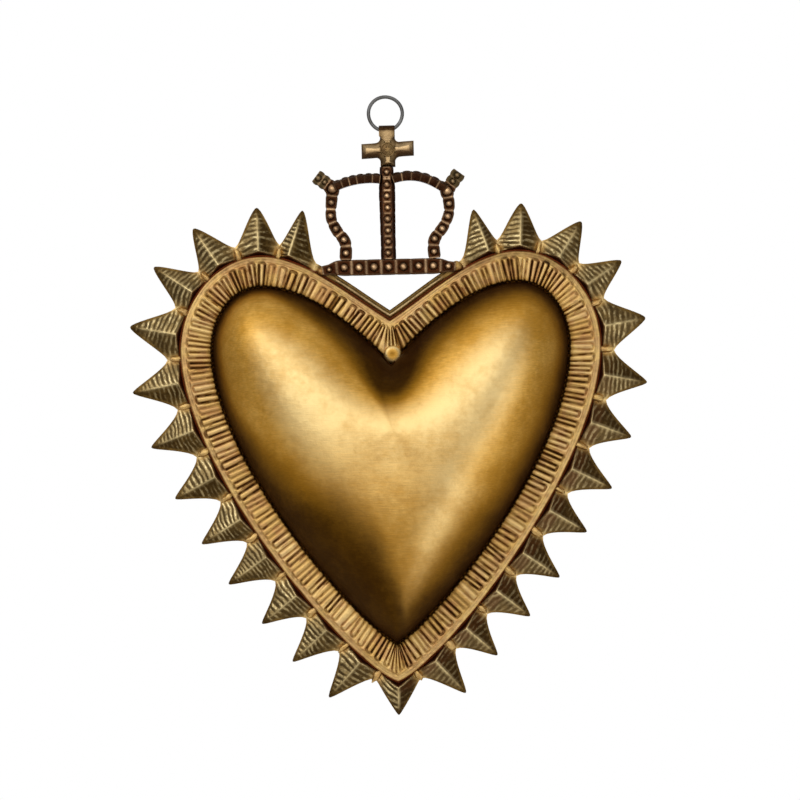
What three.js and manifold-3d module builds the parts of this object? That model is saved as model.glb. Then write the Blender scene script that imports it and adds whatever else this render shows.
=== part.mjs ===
// Hanging heart in sheet brass: a puffed heart with a fluted border, soldered to a flat plate
// whose edge is pressed into rays, under a small beaded crown with a cross and a wire ring.
// Millimetres, +Z up. The face looks along -Y. The origin is the top of the ring's inside,
// where the nail bears.

import * as THREE from 'three';
import { mergeVertices } from 'three/addons/utils/BufferGeometryUtils.js';
import Module from 'manifold-3d';

const wasm = await Module();
wasm.setup();

// Sheet and gaps
const plateSheet = 0.7;
const frontSheet = 0.7;
const crossSheet = 0.6;
const solderGap = 0.3;
const wallClearance = 0.3;

// Hanging ring and the rolled eye that it turns in
const wireRadius = 0.7;
const ringRadius = 6.6;
const eyeBoreRadius = 1.3;
const eyeWidth = 5.2;
const eyeCurl = THREE.MathUtils.degToRad(290);
const tongueLap = 1.2;

// Cross
const neckLength = 2;
const crossHeight = 12.4;
const crossSpan = 20.4;
const crossArmHeight = 5.5;
const crossPostWidth = 5.8;
const crossArmsBelowTop = 5.7;
const crossBevel = 0.9;
const crossProud = 0.15;
const bossRadius = 2.5;
const bossRise = 0.8;

// Beaded strips of the crown
const stripBack = 2.5;
const ridgeRise = 0.35;
const pearlRise = 1.15;
const pearlMargin = 0.55;
const baseHeight = 6.2;
const baseLength = 52;
const basePearls = 9;
const postWidth = 6.8;
const postTopWidth = 5.5;
const postHeight = 31.2;
const postPearls = 7;
const postStep = 0.7;
const postTopCell = 4;
const sideWidth = 5;
const sidePearls = 6;
const sideFootInset = 8.6;
const sideWaistOut = 4.6;
const sideBulgeOut = 6.5;
const sideBrowOut = 6.1;
const shoulderOut = 4.8;
const shoulderHeight = 27.2;
const flareLength = 8.2;
const flareAngle = THREE.MathUtils.degToRad(45);
const flarePearls = 2;
const archWidth = 4.2;
const archBack = 1.6;
const archCrest = 1.4;
const archCrestShare = 0.55;
const archPearls = 4;

// Heart outline at the rim, from the lobes' tops down
const lobesAboveBase = 2;
const notchDrop = 26.1;
const notchPull = new THREE.Vector2(13.9, 8.6);
const lobeX = 49.9;
const lobePull = new THREE.Vector2(17, 18.7);
const halfWidth = 81.9;
const sideDrop = 36.5;
const sidePull = new THREE.Vector2(17.7, 45.8);
const tipDrop = 166.8;
const tipPull = new THREE.Vector2(19.9, 8.1);

// Border between the rim and the foot of the dome
const borderAtNotch = 17;
const borderAtLobe = 12.1;
const borderAtSide = 12.5;
const borderAtTip = 15;
const footNotchPull = new THREE.Vector2(10.2, 11.3);
const footLobePull = new THREE.Vector2(18.9, 13.2);
const footSidePull = new THREE.Vector2(10.6, 42.9);
const footTipPull = new THREE.Vector2(15.9, 9.5);
const lipRise = 3.2;
const rimRound = 0.7;
const flutesPerHalf = 60;
const fluteRelief = 0.5;
const lipShare = 0.16;
const fluteOuterShare = 0.24;
const fluteInnerShare = 0.93;
const footRise = 1.6;

// Dome
const domeRise = 24;
const domeCentreDrop = 68.5;
const domeFullness = 1.8;
const domeShoulder = 1.45;
const distancePower = 3.6;

// Rays and the strip along the notch
const raysPerHalf = 13;
const crownSideRays = 4;
const crownSidePitch = 14.75;
const raysStart = 36;
const rayValleyOut = 5.4;
const tipValleyOut = 2.8;
const rayReach = 19.4;
const tipRayWidth = 15.8;
const tipRayLength = 14.3;
const rayWaistShare = 0.45;
const rayWaistIn = 1.1;
const rayBaseOut = 0.6;
const rayBaseGap = 1.4;
const rayApexOut = 2.4;
const rayRise = 4.2;
const firstRayLean = 3.3;
const notchStrip = 3.6;
const beadRadius = 0.6;
const beadReach = 27;

// Places that follow from the sizes above
const sagitta = ringRadius - Math.sqrt(ringRadius ** 2 - (eyeWidth / 2) ** 2);
const ringCentreZ = wireRadius - ringRadius;
const hingeZ = ringCentreZ - ringRadius + sagitta / 2;
const eyeOuterRadius = eyeBoreRadius + crossSheet;
const wallY = eyeOuterRadius + wallClearance;
const crownBackY = wallY - plateSheet;
const crossTopZ = hingeZ - neckLength;
const crossFootZ = crossTopZ - crossHeight;
const crossFrontY = -eyeOuterRadius - crossProud;
const postTopZ = crossFootZ;
const baseTopZ = postTopZ - postTopCell - postStep - postHeight;
const heartTopZ = baseTopZ + lobesAboveBase;
const sideFootX = baseLength / 2 - sideFootInset;
const shoulderX = sideFootX + shoulderOut;

const FRONT = new THREE.Vector3(0, -1, 0);

// Point at a place on the face and a depth in front of the wall.
function facePoint(place, depth) {
  return new THREE.Vector3(place.x, wallY - depth, place.y);
}

// Volume inside a closed list of triangle corners.
function signedVolume(corners) {
  let volume = 0;
  const normal = new THREE.Vector3();
  for (let i = 0; i < corners.length; i += 3) {
    normal.crossVectors(corners[i + 1], corners[i + 2]);
    volume += corners[i].dot(normal) / 6;
  }
  return volume;
}

// Closed geometry from triangle corners, turned so that its faces look out.
function solidFromCorners(corners) {
  const ordered = signedVolume(corners) < 0 ? [...corners].reverse() : corners;
  const soup = new THREE.BufferGeometry().setFromPoints(ordered);
  return mergeVertices(soup);
}

function toSolid(geometry) {
  const bare = geometry.clone();
  bare.deleteAttribute('normal');
  bare.deleteAttribute('uv');
  const merged = mergeVertices(bare);
  const vertProperties = new Float32Array(merged.attributes.position.array);
  const triVerts = new Uint32Array(merged.index.array);
  return new wasm.Manifold(new wasm.Mesh({ numProp: 3, vertProperties, triVerts }));
}

function fromSolid(solid) {
  const mesh = solid.getMesh();
  const geometry = new THREE.BufferGeometry();
  geometry.setAttribute('position', new THREE.BufferAttribute(mesh.vertProperties, 3));
  geometry.setIndex(new THREE.BufferAttribute(mesh.triVerts, 1));
  return geometry;
}

// Mirror image across the object's middle plane.
function mirrored(geometry) {
  const source = geometry.toNonIndexed().attributes.position;
  const corners = [];
  for (let i = 0; i < source.count; i += 1) {
    const corner = new THREE.Vector3().fromBufferAttribute(source, i);
    corners.push(corner.setX(-corner.x));
  }
  return solidFromCorners(corners);
}

// Corners of the faces between two rings. The rings have equal counts, or one has twice the
// other's, or one is a single point.
function ringFaces(first, second) {
  const corners = [];
  const swap = first.length < second.length;
  const fine = swap ? second : first;
  const coarse = swap ? first : second;
  const push = (a, b, c) => corners.push(...(swap ? [a, c, b] : [a, b, c]));
  const count = fine.length;
  const step = count / coarse.length;
  for (let i = 0; i < count; i += 1) {
    const next = (i + 1) % count;
    const near = coarse[Math.floor(i / step) % coarse.length];
    push(fine[i], fine[next], near);
    const isLast = (i + 1) % step === 0;
    if (coarse.length > 1 && isLast) {
      push(fine[next], coarse[(Math.floor(i / step) + 1) % coarse.length], near);
    }
  }
  return corners;
}

// Closed skin over a row of rings that starts and ends with a single point.
function skin(rings) {
  const corners = [];
  for (let i = 1; i < rings.length; i += 1) {
    corners.push(...ringFaces(rings[i - 1], rings[i]));
  }
  return solidFromCorners(corners);
}

// Right half of a heart outline in three curves: notch to lobe, lobe to side, side to tip.
function heartCurves({ notch, lobe, side, tip, pulls }) {
  const [atNotch, atLobe, atSide, atTip] = pulls;
  const at = (x, z) => new THREE.Vector2(x, z);
  return [
    new THREE.CubicBezierCurve(
      at(0, notch), at(atNotch.x, notch + atNotch.y), at(lobe.x - atLobe.x, lobe.y), lobe),
    new THREE.CubicBezierCurve(
      lobe, at(lobe.x + atLobe.y, lobe.y), at(side.x, side.y + atSide.x), side),
    new THREE.CubicBezierCurve(
      side, at(side.x, side.y - atSide.y), at(atTip.x, tip + atTip.y), at(0, tip)),
  ];
}

const rimCurves = heartCurves({
  notch: heartTopZ - notchDrop,
  lobe: new THREE.Vector2(lobeX, heartTopZ),
  side: new THREE.Vector2(halfWidth, heartTopZ - sideDrop),
  tip: heartTopZ - tipDrop,
  pulls: [notchPull, lobePull, sidePull, tipPull],
});

const footCurves = heartCurves({
  notch: heartTopZ - notchDrop - borderAtNotch,
  lobe: new THREE.Vector2(lobeX, heartTopZ - borderAtLobe),
  side: new THREE.Vector2(halfWidth - borderAtSide, heartTopZ - sideDrop),
  tip: heartTopZ - tipDrop + borderAtTip,
  pulls: [footNotchPull, footLobePull, footSidePull, footTipPull],
});

// Flutes that each of the three curves carries, shared out by length.
const rimLengths = rimCurves.map((curve) => curve.getLength());
const rimLength = rimLengths.reduce((sum, length) => sum + length, 0);
const shoulderFlutes = Math.round((flutesPerHalf * rimLengths[0]) / rimLength);
const lobeFlutes = Math.round((flutesPerHalf * rimLengths[1]) / rimLength);
const fluteShares = [shoulderFlutes, lobeFlutes, flutesPerHalf - shoulderFlutes - lobeFlutes];

// Whole outline, from the notch round the right side to the tip and back up the left.
// Each flute has four stations: bar, groove, tongue, groove.
const stationsPerFlute = 4;
function outlineLoop(curves) {
  const half = [curves[0].getPoint(0)];
  curves.forEach((curve, index) => {
    const count = fluteShares[index] * stationsPerFlute;
    half.push(...curve.getSpacedPoints(count).slice(1));
  });
  const left = half.slice(1, -1).reverse();
  return [...half, ...left.map((point) => new THREE.Vector2(-point.x, point.y))];
}

const rimLoop = outlineLoop(rimCurves);
const footLoop = outlineLoop(footCurves);

// Ring at a share of the way across the border, at a height above the plate.
function borderRing(across, stride, rise) {
  const ring = [];
  for (let i = 0; i < rimLoop.length; i += stride) {
    const place = rimLoop[i].clone().lerp(footLoop[i], across);
    const height = typeof rise === 'function' ? rise(i) : rise;
    ring.push(facePoint(place, plateSheet + height));
  }
  return ring;
}

// Smooth distance from a place on the face to the whole foot outline. It is small near the
// edge and largest in the middle of the lobes, so it swells the sheet as a pressing swells.
function swell(place) {
  let sum = 0;
  footLoop.forEach((start, i) => {
    const end = footLoop[(i + 1) % footLoop.length];
    const middleX = (start.x + end.x) / 2;
    const middleZ = (start.y + end.y) / 2;
    const distance = Math.hypot(place.x - middleX, place.y - middleZ);
    sum += start.distanceTo(end) / distance ** distancePower;
  });
  return sum ** (-1 / (distancePower - 1));
}

const domeCentre = new THREE.Vector2(0, heartTopZ - domeCentreDrop);
const domePlace = (i, share) => domeCentre.clone().lerp(footLoop[i], share);
const domeShares = [0.98, 0.94, 0.88, 0.8, 0.7, 0.56, 0.4, 0.22];
const fullestSwell = Math.max(
  ...footLoop.flatMap((_, i) => (i % 8 ? [] : domeShares.map((share) => swell(domePlace(i, share))))),
);

function domeHeight(place) {
  const share = Math.min(swell(place) / fullestSwell, 1);
  return footRise + domeRise * (1 - (1 - share) ** domeFullness) ** (1 / domeShoulder);
}

// Point on the dome's outer face, or on its inner face when an inset is given.
function domePoint(place, inset = 0) {
  const point = facePoint(place, plateSheet + domeHeight(place));
  if (inset === 0) {
    return point;
  }
  const reach = 0.5;
  const slopeX = (domeHeight(new THREE.Vector2(place.x + reach, place.y))
    - domeHeight(new THREE.Vector2(place.x - reach, place.y))) / (2 * reach);
  const slopeZ = (domeHeight(new THREE.Vector2(place.x, place.y + reach))
    - domeHeight(new THREE.Vector2(place.x, place.y - reach))) / (2 * reach);
  const normal = new THREE.Vector3(-slopeX, -1, -slopeZ).normalize();
  return point.addScaledVector(normal, -inset);
}

function domeRing(share, stride, inset = 0) {
  const ring = [];
  for (let i = 0; i < footLoop.length; i += stride) {
    ring.push(domePoint(domePlace(i, share), inset));
  }
  return ring;
}

// Pressed front: dome, groove, fluted border, lip and rim wall, hollow behind.
function heartFront() {
  const flute = (i) => lipRise + (i % 2 === 0 ? fluteRelief : -fluteRelief);
  const rimInset = rimRound / borderAtSide;
  const wallInset = frontSheet / borderAtSide;
  const underside = lipRise - fluteRelief - frontSheet;
  const outer = [
    [domePoint(domeCentre)],
    domeRing(domeShares[7], 8),
    domeRing(domeShares[6], 8),
    domeRing(domeShares[5], 8),
    domeRing(domeShares[4], 4),
    domeRing(domeShares[3], 4),
    domeRing(domeShares[2], 4),
    domeRing(domeShares[1], 4),
    domeRing(domeShares[0], 4),
    borderRing(1, 2, footRise),
    borderRing(fluteInnerShare, 1, flute),
    borderRing(fluteOuterShare, 1, flute),
    borderRing(lipShare, 2, lipRise),
    borderRing(rimInset, 4, lipRise),
    borderRing(0, 4, lipRise - rimRound),
    borderRing(0, 4, 0),
  ];
  const inner = [
    borderRing(wallInset, 4, 0),
    borderRing(wallInset, 4, underside),
    borderRing(1, 4, footRise - frontSheet),
    domeRing(domeShares[1], 4, frontSheet),
    domeRing(domeShares[3], 8, frontSheet),
    domeRing(domeShares[5], 8, frontSheet),
    domeRing(domeShares[6], 8, frontSheet),
    [domePoint(domeCentre, frontSheet)],
  ];
  return skin([...outer, ...inner]);
}

// Place at a length along the right half of the rim, moved out from it.
function besideRim(length, out) {
  let left = Math.min(Math.max(length, 0), rimLength);
  let index = 0;
  while (index < rimCurves.length - 1 && left > rimLengths[index]) {
    left -= rimLengths[index];
    index += 1;
  }
  const share = Math.min(left / rimLengths[index], 1);
  const tangent = rimCurves[index].getTangentAt(share);
  const place = rimCurves[index].getPointAt(share);
  return place.add(new THREE.Vector2(-tangent.y, tangent.x).multiplyScalar(out));
}

// Place beside the rim at the notch, where the two sides' offsets meet on the middle plane.
function besideNotch(out) {
  const tangent = rimCurves[0].getTangentAt(0);
  return new THREE.Vector2(0, rimCurves[0].getPoint(0).y + out / tangent.x);
}

// Lengths along the rim where the valleys between the rays lie. The rays beside the crown are
// narrower than the rest, and the last ray stands on the tip.
const wideLength = rimLength - raysStart - crownSidePitch * crownSideRays - tipRayWidth / 2;
const widePitch = wideLength / (raysPerHalf - crownSideRays);
function valleyLength(index) {
  const narrow = Math.min(index, crownSideRays);
  return raysStart + crownSidePitch * narrow + widePitch * (index - narrow);
}

// Place of a valley. The first one ends the strip along the notch.
function valleyPlace(index) {
  const length = valleyLength(index);
  const nearTip = (length / rimLength) ** 16;
  const out = THREE.MathUtils.lerp(rayValleyOut, tipValleyOut, nearTip);
  return besideRim(length, index === 0 ? notchStrip : out);
}

// Place where the side of a ray curves in most, on the way from its valley to its point.
function waistPlace(valley, point, middle) {
  const place = valley.clone().lerp(point, rayWaistShare);
  const edge = point.clone().sub(valley).normalize();
  const across = new THREE.Vector2(-edge.y, edge.x);
  const inward = Math.sign(across.dot(middle.clone().sub(place)));
  return place.addScaledVector(across, inward * rayWaistIn);
}

// Outline corners, middle of the base and apex of a ray between two valleys.
function rayBetween({ bases, valleys, baseMiddle, apex, point }) {
  const waists = valleys.map((valley) => waistPlace(valley, point, baseMiddle));
  const corners = [bases[0], valleys[0], waists[0], point, waists[1], valleys[1], bases[1]];
  return { corners, baseMiddle, apex };
}

function sideRay(index) {
  const from = valleyLength(index);
  const to = valleyLength(index + 1);
  const middle = (from + to) / 2;
  const lean = index === 0 ? firstRayLean : 0;
  return rayBetween({
    bases: [besideRim(from + rayBaseGap, rayBaseOut), besideRim(to - rayBaseGap, rayBaseOut)],
    valleys: [valleyPlace(index), valleyPlace(index + 1)],
    baseMiddle: besideRim(middle, rayBaseOut),
    apex: besideRim(middle + lean / 2, rayApexOut),
    point: besideRim(middle + lean, rayReach),
  });
}

function mirrorPlace(place) {
  return new THREE.Vector2(-place.x, place.y);
}

function mirrorRay({ corners, baseMiddle, apex }) {
  return {
    corners: [...corners].reverse().map(mirrorPlace),
    baseMiddle: mirrorPlace(baseMiddle),
    apex: mirrorPlace(apex),
  };
}

function tipRay() {
  const valley = valleyPlace(raysPerHalf);
  const base = besideRim(valleyLength(raysPerHalf) + rayBaseGap, rayBaseOut);
  const rimTip = rimCurves[2].getPoint(1);
  return rayBetween({
    bases: [base, mirrorPlace(base)],
    valleys: [valley, mirrorPlace(valley)],
    baseMiddle: new THREE.Vector2(0, rimTip.y - rayBaseOut),
    apex: new THREE.Vector2(0, rimTip.y - rayApexOut),
    point: new THREE.Vector2(0, valley.y - tipRayLength),
  });
}

// Sheet of one thickness over a pressed surface: the surface in front, the same surface
// behind, and walls along its outline.
function pressedSheet(places, rises, faces, outline, sheet) {
  const front = places.map((place, i) => facePoint(place, sheet + rises[i]));
  const back = places.map((place, i) => facePoint(place, rises[i]));
  const corners = [];
  faces.forEach(([a, b, c]) => {
    corners.push(front[a], front[b], front[c]);
    corners.push(back[a], back[c], back[b]);
  });
  outline.forEach((a, i) => {
    const b = outline[(i + 1) % outline.length];
    corners.push(front[b], front[a], back[a]);
    corners.push(front[b], back[a], back[b]);
  });
  return solidFromCorners(corners);
}

// Raised bead that follows the notch, as a row of half-round rings.
function notchBead() {
  const steps = 8;
  const sides = 8;
  const middle = notchStrip / 2;
  const ringAt = (place, across) => {
    const ring = [];
    for (let i = 0; i < sides; i += 1) {
      const angle = (2 * Math.PI * i) / sides;
      const spot = place.clone().addScaledVector(across, beadRadius * Math.cos(angle));
      ring.push(facePoint(spot, plateSheet + beadRadius * Math.sin(angle)));
    }
    return ring;
  };
  const right = [];
  for (let i = 1; i <= steps; i += 1) {
    const length = (beadReach * i) / steps;
    const across = besideRim(length, 1).sub(besideRim(length, 0));
    right.push({ place: besideRim(length, middle), across });
  }
  const left = right.map(({ place, across }) => ({
    place: mirrorPlace(place),
    across: mirrorPlace(across),
  })).reverse();
  const atNotch = { place: besideNotch(middle), across: new THREE.Vector2(0, 1) };
  const stations = [...left, atNotch, ...right];
  const rings = stations.map(({ place, across }) => ringAt(place, across));
  const capOf = ({ place }) => [facePoint(place, plateSheet)];
  return skin([capOf(stations[0]), ...rings, capOf(stations[stations.length - 1])]);
}

// Back plate with its rays. The flat part is cut along the rays' bases and the valleys.
function rayPlate() {
  const rightRays = Array.from({ length: raysPerHalf }, (_, i) => sideRay(i));
  const rays = [...rightRays, tipRay(), ...rightRays.map(mirrorRay).reverse()];
  const stripSteps = 6;
  const strip = [];
  for (let i = 1; i < stripSteps; i += 1) {
    strip.push(besideRim((raysStart * i) / stripSteps, notchStrip));
  }
  const places = [besideNotch(notchStrip), ...strip];
  const rises = places.map(() => 0);
  const add = (place, rise) => {
    places.push(place);
    rises.push(rise);
    return places.length - 1;
  };
  const flat = places.map((_, i) => i);
  const outline = [...flat];
  const faces = [];
  let start = add(rays[0].corners[1], 0);
  flat.push(start);
  outline.push(start);
  rays.forEach(({ corners, baseMiddle, apex }) => {
    const baseIn = add(corners[0], 0);
    const middle = add(baseMiddle, 0);
    const [waist, point, farWaist, end, baseOut] = corners.slice(2).map((spot) => add(spot, 0));
    const top = add(apex, rayRise);
    const edge = [baseIn, start, waist, point, farWaist, end, baseOut, middle, baseIn];
    edge.slice(1).forEach((corner, i) => faces.push([edge[i], corner, top]));
    flat.push(baseIn, middle, baseOut, end);
    outline.push(waist, point, farWaist, end);
    start = end;
  });
  const stripBack = [...strip].reverse().map((place) => add(mirrorPlace(place), 0));
  flat.push(...stripBack);
  outline.push(...stripBack);
  const contour = flat.map((i) => places[i]);
  const triangles = THREE.ShapeUtils.triangulateShape(contour, []);
  const clockwise = THREE.ShapeUtils.area(contour) < 0;
  triangles.forEach(([a, b, c]) => {
    const face = [flat[a], flat[b], flat[c]];
    faces.push(clockwise ? face.reverse() : face);
  });
  const sheet = pressedSheet(places, rises, faces, outline, plateSheet);
  return fromSolid(toSolid(sheet).add(toSolid(notchBead())));
}

// Beaded strip. Stations give the place of its back, the direction across it, its width and
// whether a pearl lies in the cell after it. The face direction says where the pearls stand.
const acrossShares = [0, 1 / 3, 2 / 3, 1];
const cellEdge = [
  [0, 0], [1 / 3, 0], [2 / 3, 0], [1, 0], [1, 1 / 3], [1, 2 / 3],
  [1, 1], [2 / 3, 1], [1 / 3, 1], [0, 1], [0, 2 / 3], [0, 1 / 3],
];
const sideEdges = [0, 1, 2, 6, 7, 8];

function beadedStrip(stations, thickness) {
  const corners = [];
  const quad = (a, b, c, d) => corners.push(a, b, c, a, c, d);
  const spot = (index, along, across, rise) => {
    const point = new THREE.Vector3();
    [[stations[index], 1 - along], [stations[index + 1], along]].forEach(([station, share]) => {
      const offset = (across - 0.5) * station.width;
      point.addScaledVector(station.back, share);
      point.addScaledVector(station.across, share * offset);
      point.addScaledVector(station.face, share * rise);
    });
    return point;
  };
  const edgeRise = (along) => thickness + (along === 0 || along === 1 ? ridgeRise : 0);
  const pearlCell = (index) => {
    const rim = cellEdge.map(([along, across]) => spot(index, along, across, edgeRise(along)));
    const under = cellEdge.map(([along, across]) => spot(index, along, across, 0));
    const length = stations[index].back.distanceTo(stations[index + 1].back);
    const width = (stations[index].width + stations[index + 1].width) / 2;
    const radius = Math.min(length, width) / 2 - pearlMargin;
    const circle = (share, rise) => cellEdge.map((_, i) => {
      const angle = ((i * 30 - 135) * Math.PI) / 180;
      const along = 0.5 + (share * radius * Math.cos(angle)) / length;
      const across = 0.5 + (share * radius * Math.sin(angle)) / width;
      return spot(index, along, across, thickness + rise);
    });
    const foot = circle(1, 0);
    const waist = circle(Math.SQRT1_2, pearlRise * Math.SQRT1_2);
    corners.push(...ringFaces(rim, foot), ...ringFaces(foot, waist));
    corners.push(...ringFaces(waist, [spot(index, 0.5, 0.5, thickness + pearlRise)]));
    sideEdges.forEach((i) => quad(rim[i + 1], rim[i], under[i], under[i + 1]));
    [0, 1, 2].forEach((i) => quad(under[i], under[9 - i], under[8 - i], under[i + 1]));
  };
  const plainCell = (index) => {
    const near = acrossShares.map((across) => spot(index, 0, across, edgeRise(0)));
    const far = acrossShares.map((across) => spot(index, 1, across, edgeRise(1)));
    const under = [[0, 0], [0, 1], [1, 1], [1, 0]].map(([along, across]) =>
      spot(index, along, across, 0));
    [0, 1, 2].forEach((i) => quad(near[i], far[i], far[i + 1], near[i + 1]));
    quad(far[0], near[0], under[0], under[3]);
    quad(near[3], far[3], under[2], under[1]);
    quad(...under);
  };
  const endCap = (index, along) => {
    const order = along === 0 ? acrossShares : [...acrossShares].reverse();
    const top = order.map((across) => spot(index, along, across, edgeRise(along)));
    const low = spot(index, along, order[0], 0);
    const other = spot(index, along, order[3], 0);
    [0, 1, 2].forEach((i) => corners.push(low, top[i], top[i + 1]));
    corners.push(low, top[3], other);
  };
  for (let i = 0; i + 1 < stations.length; i += 1) {
    (stations[i].plain ? plainCell : pearlCell)(i);
  }
  endCap(0, 0);
  endCap(stations.length - 2, 1);
  return solidFromCorners(corners);
}

// Stations of a strip whose face looks forward, along a row of places. Bends are mitred, and
// the end directions can be given so that an end lies flat against its neighbour.
function facingStations(places, width, { start, end } = {}) {
  return places.map((place, i) => {
    const before = places[Math.max(i - 1, 0)];
    const after = places[Math.min(i + 1, places.length - 1)];
    const into = place.clone().sub(before).normalize();
    const out = after.clone().sub(place).normalize();
    const tangent = into.clone().add(out).normalize();
    const along = (i === 0 && start) || (i === places.length - 1 && end) || tangent;
    const mitre = into.length() && out.length() ? 1 / along.dot(out) : 1;
    return {
      back: new THREE.Vector3(place.x, crownBackY, place.y),
      across: new THREE.Vector3(-along.y, 0, along.x),
      face: FRONT,
      width: width * mitre,
    };
  });
}

function crownBase() {
  const line = new THREE.LineCurve(
    new THREE.Vector2(-baseLength / 2, baseTopZ - baseHeight / 2),
    new THREE.Vector2(baseLength / 2, baseTopZ - baseHeight / 2),
  );
  return beadedStrip(facingStations(line.getSpacedPoints(basePearls), baseHeight), stripBack);
}

function crownPost() {
  const main = new THREE.LineCurve(
    new THREE.Vector2(0, baseTopZ),
    new THREE.Vector2(0, baseTopZ + postHeight),
  );
  const stations = facingStations(main.getSpacedPoints(postPearls), postWidth);
  stations[postPearls].plain = true;
  const top = [postTopZ - postTopCell, postTopZ].map((z) => new THREE.Vector2(0, z));
  return beadedStrip([...stations, ...facingStations(top, postTopWidth)], stripBack);
}

const shoulder = new THREE.Vector2(shoulderX, baseTopZ + shoulderHeight);

function crownSide() {
  const rise = (share) => baseTopZ + shoulderHeight * share;
  const bulge = new THREE.SplineCurve([
    new THREE.Vector2(sideFootX, rise(0)),
    new THREE.Vector2(sideFootX, rise(0.22)),
    new THREE.Vector2(sideFootX + sideWaistOut, rise(0.48)),
    new THREE.Vector2(sideFootX + sideBulgeOut, rise(0.68)),
    new THREE.Vector2(sideFootX + sideBrowOut, rise(0.86)),
    shoulder,
  ]);
  const flare = new THREE.Vector2(Math.sin(flareAngle), Math.cos(flareAngle));
  const places = bulge.getSpacedPoints(sidePearls);
  for (let i = 1; i <= flarePearls; i += 1) {
    places.push(shoulder.clone().addScaledVector(flare, (flareLength * i) / flarePearls));
  }
  const start = new THREE.Vector2(0, 1);
  return beadedStrip(facingStations(places, sideWidth, { start }), stripBack);
}

// Arch set on edge: its pearls look up and out, and its width runs from the wall side forward.
function crownArch() {
  const innerEnd = new THREE.Vector2(postWidth / 2, baseTopZ + postHeight - archBack);
  const outerEnd = new THREE.Vector2(
    shoulderX - sideWidth / 2 - solderGap, shoulder.y + archBack / 2);
  const crest = new THREE.Vector2(outerEnd.x * archCrestShare, innerEnd.y + archCrest);
  const curve = new THREE.QuadraticBezierCurve(innerEnd, crest, outerEnd);
  const places = curve.getSpacedPoints(archPearls);
  const stations = places.map((place, i) => {
    const tangent = i === 0 ? new THREE.Vector2(1, 0) : curve.getTangentAt(i / archPearls);
    return {
      back: new THREE.Vector3(place.x, crownBackY - archWidth / 2, place.y),
      across: new THREE.Vector3(0, 1, 0),
      face: new THREE.Vector3(-tangent.y, 0, tangent.x),
      width: archWidth,
    };
  });
  return beadedStrip(stations, archBack);
}

// Turn a shape drawn on the face, or a profile, so that its depth runs forward from a plane.
function standOnFace(geometry, backY) {
  return geometry.rotateX(Math.PI / 2).translate(0, backY, 0);
}

function crossOutline(inset) {
  const halfPost = crossPostWidth / 2 - inset;
  const halfSpan = crossSpan / 2 - inset;
  const top = crossTopZ - inset;
  const foot = crossFootZ + inset;
  const armMiddle = crossTopZ - crossArmsBelowTop;
  const armTop = armMiddle + crossArmHeight / 2 - inset;
  const armFoot = armMiddle - crossArmHeight / 2 + inset;
  const right = [
    [halfPost, foot], [halfPost, armFoot], [halfSpan, armFoot],
    [halfSpan, armTop], [halfPost, armTop], [halfPost, top],
  ];
  const left = [...right].reverse().map(([x, z]) => [-x, z]);
  return new THREE.Shape([...right, ...left].map(([x, z]) => new THREE.Vector2(x, z)));
}

// Eye rolled from the cross's tongue, in profile: front of the sheet at the left.
function rolledEye() {
  const tongueFoot = -(neckLength + tongueLap);
  const startAngle = Math.PI;
  const endAngle = Math.PI - eyeCurl;
  const profile = new THREE.Shape();
  profile.moveTo(-eyeOuterRadius, tongueFoot);
  profile.lineTo(-eyeOuterRadius, 0);
  profile.absarc(0, 0, eyeOuterRadius, startAngle, endAngle, true);
  profile.absarc(0, 0, eyeBoreRadius, endAngle, startAngle, false);
  profile.lineTo(-eyeBoreRadius, tongueFoot);
  const geometry = new THREE.ExtrudeGeometry(profile, {
    depth: eyeWidth,
    bevelEnabled: false,
    curveSegments: 20,
  });
  const turn = new THREE.Matrix4().makeBasis(
    new THREE.Vector3(0, 1, 0), new THREE.Vector3(0, 0, 1), new THREE.Vector3(1, 0, 0));
  return geometry.translate(0, 0, -eyeWidth / 2).applyMatrix4(turn).translate(0, 0, hingeZ);
}

// Round boss where the arms meet: a raised rim, a groove and a low dome.
function crossBoss() {
  const profile = [
    [0, -crossSheet / 2], [bossRadius, -crossSheet / 2], [bossRadius, bossRise * 0.35],
    [bossRadius * 0.8, bossRise * 0.7], [bossRadius * 0.62, bossRise * 0.3],
    [bossRadius * 0.45, bossRise * 0.8], [0, bossRise],
  ].map(([x, y]) => new THREE.Vector2(x, y));
  const boss = new THREE.LatheGeometry(profile, 24);
  return boss.rotateX(Math.PI).translate(0, crossFrontY, crossTopZ - crossArmsBelowTop);
}

function cross() {
  const depth = crownBackY - crossFrontY;
  const bevelled = new THREE.ExtrudeGeometry(crossOutline(0), {
    depth: depth - 2 * crossBevel,
    bevelThickness: crossBevel,
    bevelSize: crossBevel,
    bevelOffset: -crossBevel,
    bevelSegments: 2,
  });
  const body = standOnFace(bevelled.translate(0, 0, crossBevel), crownBackY);
  const hollowShape = crossOutline(crossBevel + crossSheet / 2);
  const hollow = new THREE.ExtrudeGeometry(hollowShape, {
    depth: depth - crossSheet + 1,
    bevelEnabled: false,
  });
  const pan = toSolid(body).subtract(toSolid(standOnFace(hollow, crownBackY + 1)));
  return fromSolid(pan.add(toSolid(rolledEye())).add(toSolid(crossBoss())));
}

function hangingRing() {
  const ring = new THREE.TorusGeometry(ringRadius, wireRadius, 10, 40);
  return ring.rotateX(Math.PI / 2).translate(0, 0, ringCentreZ);
}

// Finishes
const fineBrass = { color: 0xc79a4b, roughness: 0.34, metalness: 1 };
const agedBrass = { color: 0x77602f, roughness: 0.5, metalness: 1 };
const darkBrass = { color: 0x4d2f1a, roughness: 0.45, metalness: 1 };
const steel = { color: 0x55565a, roughness: 0.35, metalness: 1 };

function piece(name, geometry, finish) {
  const mesh = new THREE.Mesh(geometry, new THREE.MeshStandardMaterial(finish));
  mesh.name = name;
  return mesh;
}

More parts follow.
